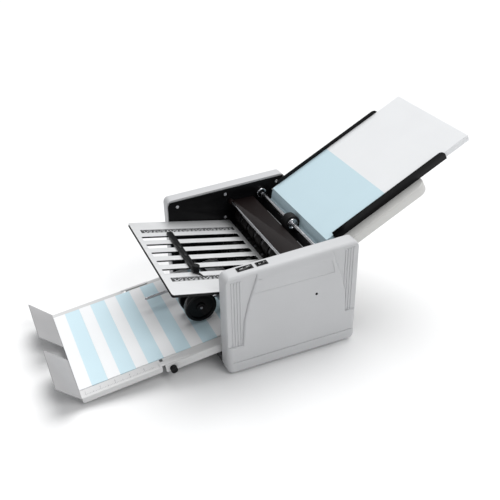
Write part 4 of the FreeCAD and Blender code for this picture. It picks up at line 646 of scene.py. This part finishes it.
SHAFT_PROFILE = (
    (0, -141.4), (3.6, -141.4), (4, -141), (4, -12), (5.4, -12), (5.6, -9.8), (8.4, -9.8), (8.6, -12),
    (9.6, -12), (10, -11.6), (10, 7.6), (9.6, 8), (8.6, 8), (8.4, 5.8), (5.6, 5.8), (5.4, 8), (4, 8),
    (4, 133.3), (3.6, 133.7), (0, 133.7))
TREAD_GROOVES, TREAD_RADIUS, GROOVE_RADIUS, GROOVE_HALF = range(-8, 6, 2), 15, 14.65, 0.4
BUSH_PROFILE = ((4.15, 123.5), (7.6, 123.5), (7.6, 128.7), (7, 128.7), (7, 130.7), (4.15, 130.7))
RING_PROFILE = ((7.65, 122.7), (9.6, 122.7), (10, 123.1), (10, 128.7), (7.65, 128.7))
tread = [(10.05, -11), (14.2, -11), (14.8, -10.7), (15, -10.1)]
for groove in TREAD_GROOVES:
    tread += [(TREAD_RADIUS, groove - GROOVE_HALF), (GROOVE_RADIUS, groove),
              (TREAD_RADIUS, groove + GROOVE_HALF)]
tread += [(15, 6.1), (14.8, 6.7), (14.2, 7), (10.05, 7)]
turned_steel = grained("turned_bright_steel", (0.78, 0.78, 0.8), 0.18, 1.0, spread=0.03, fine=900,
                       height=0.000006, stretch=(0.2, 6, 0.2), gloss=0.06)
tyre_rubber = grained("dark_soft_rubber", (0.009, 0.009, 0.0095), 0.6, spread=0.2, cloud=150, fine=2200,
                      height=0.00008, shine=0.22)
shaft = settle(lathed("feed_roller_shaft", SHAFT_PROFILE, TYRE_X, TYRE_Z), Matrix(), turned_steel,
               "feed_roller")
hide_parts("feed_shaft")
tyre = settle(lathed("feed_roller_tyre", tread, TYRE_X, TYRE_Z), Matrix(), tyre_rubber,
              "feed_roller")
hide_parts("feed_tyre")
bushes = [lathed("bush", profile, TYRE_X, TYRE_Z) for profile in (BUSH_PROFILE, both_sides(BUSH_PROFILE))]
bushes = settle(join_pieces("feed_shaft_bushes", bushes), Matrix(), black_plastic, "machine")
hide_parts("feed_bushes")
rings = [lathed("ring", profile, TYRE_X, TYRE_Z) for profile in (RING_PROFILE, both_sides(RING_PROFILE))]
settle(join_pieces("feed_bush_rings", rings), Matrix(), turned_steel, "machine")

# Feed ramp and chutes: black enamelled sheets that lead the paper down to the first rollers,
# with bright rods along the ramp's lip. A moulded holder under the ramp carries the rubber
# pad that holds the lower sheets back.
LIP_X, LIP_Z, LIP_ROOM = 86.57, 151.02, 2.4
LIP_BOXES = [((LIP_X - LIP_ROOM, low, LIP_Z - LIP_ROOM), (LIP_X + LIP_ROOM, high, LIP_Z + LIP_ROOM))
             for low, high in ((-96, -32), (32, 96))]
chutes = broken_edges("feed_chutes", black_thin, 0.25)
# The lip's light grey stands partly for the bright rods and is partly a painted highlight, so the lip reads
# as a bright line.
lip_rod_and_painted_highlight = grained("bright_lip_and_painted_highlight", (0.78, 0.79, 0.8), 0.4, 0.3, spread=0.05, fine=900, height=0.00001)
faces_near(chutes, LIP_BOXES, lip_rod_and_painted_highlight)
broken_edges("pad_holder", black_plastic, 0.6)
broken_edges("retard_pad", tyre_rubber, 0.4)

# Roller cover: a flat brown painted panel over the fold rollers. It hangs on the bright
# rod in front of it and swings up to clear a jam.
brown_panel = grained("dark_brown_paint", (0.008, 0.0048, 0.0046), 0.45, spread=0.15, cloud=35, fine=1100,
                      height=0.00005, shine=0.12)
broken_edges("roller_cover", brown_panel, 0.6)

# Fold rollers: four ground steel cores, each with eight rubber sleeves that grip the paper,
# in flanged sintered bearings pressed into the side plates.
# Painted shade: the cores' steel colour is darkened far below bright steel, so the steel between the sleeves
# reads dark.
roller_cores_painted_shade = grained("roller_core_darkened_painted_shade", (0.15, 0.15, 0.155), 0.38, 1.0, spread=0.04, fine=900,
                       height=0.000008, stretch=(0.2, 6, 0.2), gloss=0.07)
roller_rubber = grained("dark_roller_rubber", (0.012, 0.0105, 0.0105), 0.55, spread=0.15, cloud=90, fine=1600,
                        height=0.00006, shine=0.2)
sintered = grained("sintered_bronze", (0.5, 0.4, 0.26), 0.42, 1.0, spread=0.1, cloud=200, fine=3000,
                   height=0.00002)
for roller in ("drive", "upper", "left", "exit"):
    dress((roller + "_fold_roller",), roller_cores_painted_shade)
    broken_edges(roller + "_roller_sleeves", roller_rubber, 0.6)
dress(("roller_bearings",), sintered)

# Drive: an electric motor under the feed table, a belt from its pulley to the drive roller's,
# and moulded nylon gears outside the near plate that turn the other rollers. Each gear has
# a sunken web between its hub and its rim.
GEARS = {
    "drive_gear": (38.423, 108.028), "upper_gear": (45.087, 139.327), "left_gear": (6.735, 103.575),
    "exit_gear": (12.291, 72.061), "idler_gear": (73.013, 151.341), "feed_gear": (88.5, 177.5)}
GEAR_NEAR, GEAR_FAR, WEB_DEEP = -141.2, -133.2, 1.8
HUB_RADIUS, WEB_RADIUS, IDLER_WEB_RADIUS = 8, 12, 10.6
gear_plastic = grained("natural_nylon", (0.72, 0.7, 0.62), 0.38, spread=0.03, cloud=60, fine=1500,
                       height=0.00003)
for gear, (x, z) in GEARS.items():
    wheel = broken_edges(gear, gear_plastic, 0.15, steps=1)
    web = IDLER_WEB_RADIUS if gear == "idler_gear" else WEB_RADIUS
    for low, high in ((GEAR_NEAR - CUT_PAST, GEAR_NEAR + WEB_DEEP),
                      (GEAR_FAR - WEB_DEEP, GEAR_FAR + CUT_PAST)):
        groove = ((HUB_RADIUS, low), (web, low), (web, high), (HUB_RADIUS, high))
        cut_away(wheel, lathed("web_groove", groove, x, z, steps=48))
    smooth(wheel)
broken_edges("drive_pulley", gear_plastic, 0.3)
# The motor pulley takes the same steel, darkened as painted shade.
dress(("motor_pulley",), roller_cores_painted_shade)

MOTOR_X, MOTOR_Z = 108, 97
MOTOR_PROFILE = (
    (3.15, -130.7), (7.7, -130.7), (8, -130.4), (8, -128.7), (24.2, -128.7), (25, -127.9), (25, -117),
    (24.5, -116.5), (24.5, -57), (25, -56.5), (25, -42.5), (24, -41.6), (13, -41.6), (12.4, -40.7),
    (6, -40.7), (5.6, -41.4), (0, -41.4), (0, -118.7), (3.15, -118.7))
motor_metal = grained("zinc_plated_can", (0.6, 0.6, 0.6), 0.33, 1.0, spread=0.08, cloud=40, fine=700,
                      height=0.00001)
motor = settle(lathed("motor_can", MOTOR_PROFILE, MOTOR_X, MOTOR_Z), Matrix(), motor_metal,
               "machine")
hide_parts("drive_motor")
belt_rubber = grained("cord_backed_rubber", (0.02, 0.02, 0.021), 0.62, spread=0.15, cloud=200, fine=1500,
                      height=0.00008, stretch=(1, 0.2, 1))
broken_edges("drive_belt", belt_rubber, 0.3, steps=1)


# Upper fold plate: a slotted sheet of brushed steel over a black enamelled one, with the
# paper gap between them. The lower sheet's black, and the black on the top sheet's cut edges
# and slot walls, are painted shade that keeps the slots dark all across. It slides out of the
# machine on two black rails. Printed scales run along both its sides.
SCUFF_EDGE, SCUFF_SHARE = 0.05, 0.5


def scuffs(finish, colour, scale, above, stretch=(1, 1, 1), tilt=0.0):
    """Rare fine marks where use has changed a finish's colour."""
    marks = grain(finish, scale, 6.0, stretch, tilt)
    rare = add_step(finish, "MapRange",
                    {"From Min": above, "From Max": above + SCUFF_EDGE, "To Max": SCUFF_SHARE})
    mixed = add_step(finish, "Mix", {7: (*colour, 1)}, data_type="RGBA")
    base = shader_of(finish).inputs["Base Color"]
    links = finish.node_tree.links
    wire(finish, marks, "Fac", rare, "Value")
    wire(finish, rare, "Result", mixed, 0)
    links.new(base.links[0].from_socket, mixed.inputs[6])
    links.new(mixed.outputs[2], base)


PLATE_TILT, CUT_LEAN = 12.02, 0.3
PLATE = sloped(-182.053, 174.092, PLATE_TILT)
PLATE_UP = PLATE.to_3x3().col[2]
plate_steel = grained("brushed_light_steel", (0.72, 0.725, 0.73), 0.38, 0.45, spread=0.03, cloud=10, fine=900,
                      height=0.000012, stretch=(0.03, 1, 1), tilt=math.radians(PLATE_TILT), gloss=0.08)
scuffs(plate_steel, (0.5, 0.5, 0.5), 300, 0.66, (0.06, 1, 1), math.radians(PLATE_TILT))
top_sheet = broken_edges("upper_plate_top", plate_steel, 0.15, steps=1)
# Painted shade: the top sheet's cut edges and slot walls take black enamel, so they read dark.
top_sheet.data.materials.append(black_thin)
for face in top_sheet.data.polygons:
    if abs(face.normal.dot(PLATE_UP)) < CUT_LEAN:
        face.material_index = 1
# Painted shade: the lower sheet is black enamel, so the slots read dark all across.
broken_edges("upper_plate_bottom", black_thin, 0.2, steps=1)
broken_edges("plate_rails", black_thin, 0.25)


def printed_row(first, size, step=0, count=1, height=0.1):
    """A row of equal marks printed on a sheet: the first one's middle and size, and the step to the next."""
    let_go()
    bpy.ops.mesh.primitive_plane_add(size=1, location=(first[0] * MM, first[1] * MM, height * MM))
    row = bpy.context.object
    row.scale = (size[0] * MM, size[1] * MM, 1)
    bpy.ops.object.transform_apply(location=True, rotation=True, scale=True)
    repeat = row.modifiers.new("repeat", "ARRAY")
    repeat.count = count
    repeat.use_relative_offset = False
    repeat.use_constant_offset = True
    repeat.constant_offset_displace = (step * MM, 0, 0)
    bpy.ops.object.modifier_apply(modifier=repeat.name)
    return row


def printed_word(word, middle, tall, height=0.1):
    """A number or a switch mark, flat, with its middle at a place."""
    let_go()
    bpy.ops.object.text_add(location=(middle[0] * MM, middle[1] * MM, height * MM))
    text = bpy.context.object
    text.data.body = word
    text.data.align_x, text.data.align_y = "CENTER", "CENTER"
    text.data.size = tall * MM
    text.data.resolution_u = 4
    bpy.ops.object.convert(target="MESH")
    bpy.ops.object.transform_apply(location=True, rotation=True, scale=True)
    return bpy.context.object


INCH, FIRST_TICK = 25.4, 18
BAND_START, BAND_END, BAND_WIDE, BAND_HEIGHT = 14, 200, 12.4, 0.05
BAND_MIDDLES = {"near": -81, "far": 91.1}
NUMBERS, NUMBER_TALL, NUMBER_SIDE, NUMBER_HEIGHT = 7, 5, 0.2, 0.12
# Each row of marks: where it starts, its side of the band's middle, a mark's size, the step and the count
SCALE_ROWS = (
    (FIRST_TICK, 4.6, (0.7, 2), INCH / 10, 71),
    (FIRST_TICK, 3.8, (0.9, 3.6), INCH / 2, 15),
    (22.4, -4.2, (5.2, 2.2), 8.5, 21),
    (20.6, -0.4, (2.4, 2.2), INCH / 4, 28),
)
ink_black = grained("black_printing_ink", (0.016, 0.016, 0.017), 0.5, spread=0.1, cloud=100, fine=2000,
                    height=0.00001)
ink_light = grained("bare_plate_in_print", (0.62, 0.63, 0.64), 0.42, spread=0.04, cloud=60, fine=2000,
                    height=0.00001)
for side, middle in BAND_MIDDLES.items():
    centre = ((BAND_START + BAND_END) / 2, middle)
    band = printed_row(centre, (BAND_END - BAND_START, BAND_WIDE), height=BAND_HEIGHT)
    band.name = side + "_scale_band"
    settle(band, PLATE, ink_black, "upper_plate")
    marks = [printed_row((start, middle + across), size, step, count)
             for start, across, size, step, count in SCALE_ROWS]
    marks += [printed_word(str(NUMBERS - index), (FIRST_TICK + (index + 0.5) * INCH, middle + NUMBER_SIDE),
                           NUMBER_TALL, NUMBER_HEIGHT) for index in range(NUMBERS)]
    settle(join_pieces(side + "_scale_marks", marks), PLATE, ink_light, "upper_plate")

# Fold stops: a black moulded bar across each fold plate, with fingers down through the slots
# that stop the paper's edge. A knurled knob on the upper bar clamps it, beside its pointer.
for node in ("upper_stop", "lower_stop"):
    broken_edges(node, black_plastic, 0.5)
BAR_X, BAR_TOP = 63.2, 5.6
BUMP_SIDES, BUMP_SIZE = (19.65, -9.65), (4.4, 7.5, 1.6)
bumps = []
for side in BUMP_SIDES:
    let_go()
    bpy.ops.mesh.primitive_uv_sphere_add(segments=24, ring_count=12, radius=MM,
                                         location=(BAR_X * MM, side * MM, BAR_TOP * MM))
    bump = bpy.context.object
    bump.scale = BUMP_SIZE
    bpy.ops.object.transform_apply(location=True, rotation=True, scale=True)
    smooth(bump, 60)
    bumps.append(bump)
settle(join_pieces("stop_bar_bumps", bumps), PLATE, black_plastic, "upper_stop")
STOP_KNOB_RADIUS, STOP_KNOB_TALL, STOP_KNOB_BORE = 6.75, 6.5, (2.65, 3.5)
STOP_KNOB_PLACE = Vector((BAR_X, -60, 5.9)) * MM
knob = knurled_knob("stop_clamp_knob", STOP_KNOB_RADIUS, STOP_KNOB_TALL, 16, STOP_KNOB_BORE)
settle(knob, PLATE @ Matrix.Translation(STOP_KNOB_PLACE), black_plastic, "upper_stop_knob")
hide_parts("upper_stop_knob")

# Lower fold plate: the same construction inside the machine, with three slots, fixed
# between the side plates. Its stop is moved by a short handle.
broken_edges("lower_fold_plate", plate_steel, 0.2, steps=1)

# Exit tray: two pans of painted sheet steel with down-turned lips. The outer one slides
# out, with its tongues over the fixed one. Two flaps of duller steel at its end stop the
# paper, and a knurled knob through the near lip locks it. The flaps' darker grey is partly
# the duller steel and partly painted shade, as they face away from the light.
TRAY_TILT = -6.84
TRAY = sloped(-347.5, 19.2, TRAY_TILT)
tray_steel = grained("worn_grey_paint", (0.66, 0.66, 0.66), 0.34, spread=0.025, cloud=10, fine=900,
                     height=0.00003)
scuffs(tray_steel, (0.42, 0.42, 0.42), 240, 0.67, (0.08, 1, 1), math.radians(TRAY_TILT))
flap_finish_and_painted_shade = grained("dull_flaps_and_painted_shade", (0.43, 0.425, 0.43), 0.42, 0.3, spread=0.08, cloud=9, fine=900,
                     height=0.00002)
FLAP_BOX = ((-390, -130, 19.5), (-347.2, 125, 70))
for node in ("exit_tray", "tray_extension"):
    pan = broken_edges(node, tray_steel, 0.4)
    faces_near(pan, [FLAP_BOX], flap_finish_and_painted_shade)

RULER_START, RULER_SIDE = 8, -118.6
RULER_NUMBERS, RULER_NUMBER_TALL, RULER_NUMBER_RISE = 5, 4.5, 3
# Each row of ticks: its distance below the ruler's line, a tick's size, the step and the count
RULER_ROWS = ((3, (0.4, 2.4), INCH / 10, 48), (2.2, (0.6, 4), INCH / 2, 10))
ink_grey = grained("faint_grey_ink", (0.2, 0.21, 0.23), 0.5, spread=0.1, cloud=100, fine=2000, height=0.00001)
ruler = [printed_row((RULER_START, RULER_SIDE - below), size, step, count)
         for below, size, step, count in RULER_ROWS]
ruler += [printed_word(str(index + 1), (RULER_START + index * INCH, RULER_SIDE + RULER_NUMBER_RISE),
                       RULER_NUMBER_TALL) for index in range(RULER_NUMBERS)]
settle(join_pieces("tray_ruler", ruler), TRAY, ink_grey, "tray_extension")

LOCK_RADIUS, LOCK_TALL = 6, 8
LOCK_PLACE = Vector((156, -127.8, -9.5)) * MM
LOCK_STUD = ((0, 0), (2.5, 0), (2.5, 5.6), (2.1, 6), (0, 6))
lock = knurled_knob("tray_lock", LOCK_RADIUS, LOCK_TALL, 14, (0, 0))
lock.data.transform(Matrix.Rotation(math.pi / 2, 4, "X"))
lock = join_pieces("tray_lock", [lock, lathed("lock_stud", LOCK_STUD, steps=32)])
settle(lock, TRAY @ Matrix.Translation(LOCK_PLACE), black_plastic, "tray_lock_knob")
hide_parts("tray_lock_knob")

# Folded sheets on the tray: six two-tone letters, folded in three. They overlap like roof
# tiles, each with its three leaves open towards the machine.
SHEET_COUNT, SHEET_STEP, SHEET_LIFT, WHITE_LONG = 6, 49.3, 0.1, 22
LEAVES, LEAF_SHARE, LEAF_INSET = 3, 0.86, 0.18
SHEET_SCATTER, LEAF_TRIM, LEAF_SCATTER = 0.5, 0.5, 0.2
LOWER_EDGE = ((0, 1.1), (6, 0.82), (21.7, 0), (49.3, 0), (71, 0))
UPPER_EDGE = ((0, 1.42), (6, 1.46), (21.7, 1.33), (49.3, 1.08), (71, 0.06))


def leaf_outline(start, leaf, flat):
    """One leaf of a folded sheet, from its share of the sheet's thickness."""
    low_share, high_share = leaf / LEAVES, (leaf + LEAF_SHARE) / LEAVES
    inset = LEAF_INSET if leaf != 1 else 0
    lower, upper = [], []
    for (along, bottom), (_, top) in zip(LOWER_EDGE, UPPER_EDGE):
        bottom = 0 if flat else bottom
        x = start + (along if along else inset)
        lower.append((x, bottom + (top - bottom) * low_share))
        upper.append((x, bottom + (top - bottom) * high_share))
    return lower + upper[::-1]


leaves = []
for index in range(SHEET_COUNT):
    shift = draw.uniform(-SHEET_SCATTER, SHEET_SCATTER)
    for leaf in range(LEAVES):
        half = SHEET_WIDE / 2 - LEAF_TRIM - draw.uniform(0, LEAF_SCATTER)
        outline = leaf_outline(index * SHEET_STEP, leaf, index == 0)
        leaves.append(outline_block("leaf", outline, shift - half, shift + half))
folded = join_pieces("folded_letters", leaves)
folded_paper = two_tone_paper("two_tone_letters", tuple(TRAY.translation), math.radians(TRAY_TILT),
                              WHITE_LONG, SHEET_STEP)
settle(folded, TRAY @ Matrix.Translation((0, 0, SHEET_LIFT * MM)), folded_paper, "machine")
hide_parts("folded_sheets")

# Stacker: two glossy black wheels on a rod arm press the folded sheets down as they come
# out, beside a thin hold-down rod. Both swing on one black cross shaft.
AXLE_X, AXLE_Z = -110.5, 78.75
WHEEL_MIDDLES = (-48, -17)
WHEEL_HALF = [(2.65, -6), (7.4, -6), (7.8, -5.6), (8.4, -3.4), (22.6, -3.4), (23.4, -5.7), (24, -6),
              (27.6, -6), (28.6, -5.6), (29, -4.6)]
gloss_black = grained("glossy_black_moulding", (0.004, 0.004, 0.0045), 0.2, spread=0.1, cloud=60, fine=900,
                      height=0.00001, gloss=0.05, shine=0.2)
wheels = []
for middle in WHEEL_MIDDLES:
    profile = [(radius, along + middle) for radius, along in WHEEL_HALF + both_sides(WHEEL_HALF)]
    wheels.append(lathed("wheel", profile, AXLE_X, AXLE_Z, steps=96))
wheels = settle(join_pieces("stacker_wheel_pair", wheels), Matrix(), gloss_black,
                "stacker_wheels")
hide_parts("stacker_wheels")
polished = grained("polished_rod_steel", (0.42, 0.42, 0.44), 0.24, 1.0, spread=0.04, cloud=50, fine=900,
                   height=0.00001)
for node in ("wheel_arm", "hold_down_rod"):
    broken_edges(node, polished, 0.35)
dress(("stacker_shaft",), black_thin)

# Switches: two black rockers in moulded bodies on the operator's side, the power switch
# and the feed switch, with white marks pad-printed on their slopes.
broken_edges("switch_bodies", black_plastic, 0.3)
SWITCH_Y = -141
# Each switch: its middle, its marks with their distances from it, and the letters' height
SWITCHES = {
    "power": (-63, (("OFF", -5.6), ("ON", 5.4)), 3.8),
    "feed": (-33, (("O", -3.6), ("I", 3.6)), 4.6),
}
MARK_START, MARK_LIFT = 220, 0.06
white_ink = grained("white_pad_print", (0.8, 0.8, 0.8), 0.45, spread=0.03, cloud=100, fine=2000,
                    height=0.00001)
for switch, (x, words, tall) in SWITCHES.items():
    rocker = broken_edges(switch + "_rocker", gloss_black, 0.3)
    mark = join_pieces(switch + "_marks", [printed_word(word, (x + along, SWITCH_Y), tall, MARK_START)
                                           for word, along in words])
    take(mark)
    laid = mark.modifiers.new("laid_on", "SHRINKWRAP")
    laid.target = rocker
    laid.wrap_method = "PROJECT"
    laid.use_project_z = True
    laid.use_negative_direction = True
    laid.use_positive_direction = False
    laid.offset = MARK_LIFT * MM
    bpy.ops.object.modifier_apply(modifier=laid.name)
    settle(mark, Matrix(), white_ink, switch + "_rocker")

# Power inlet: a flanged black socket in the rear panel, moulded in one piece round three
# flat metal pins.
PIN_X, PIN_Y, PIN_Z = (125, 140.2), (85, 92, 99), (34, 36, 34)
PIN_HALF_WIDE, PIN_HALF_TALL = 1.2, 3.2
PIN_BOXES = [((PIN_X[0], y - PIN_HALF_WIDE, z - PIN_HALF_TALL),
              (PIN_X[1], y + PIN_HALF_WIDE, z + PIN_HALF_TALL)) for y, z in zip(PIN_Y, PIN_Z)]
inlet = broken_edges("power_inlet", black_plastic, 0.35)
faces_near(inlet, PIN_BOXES, screw_steel)
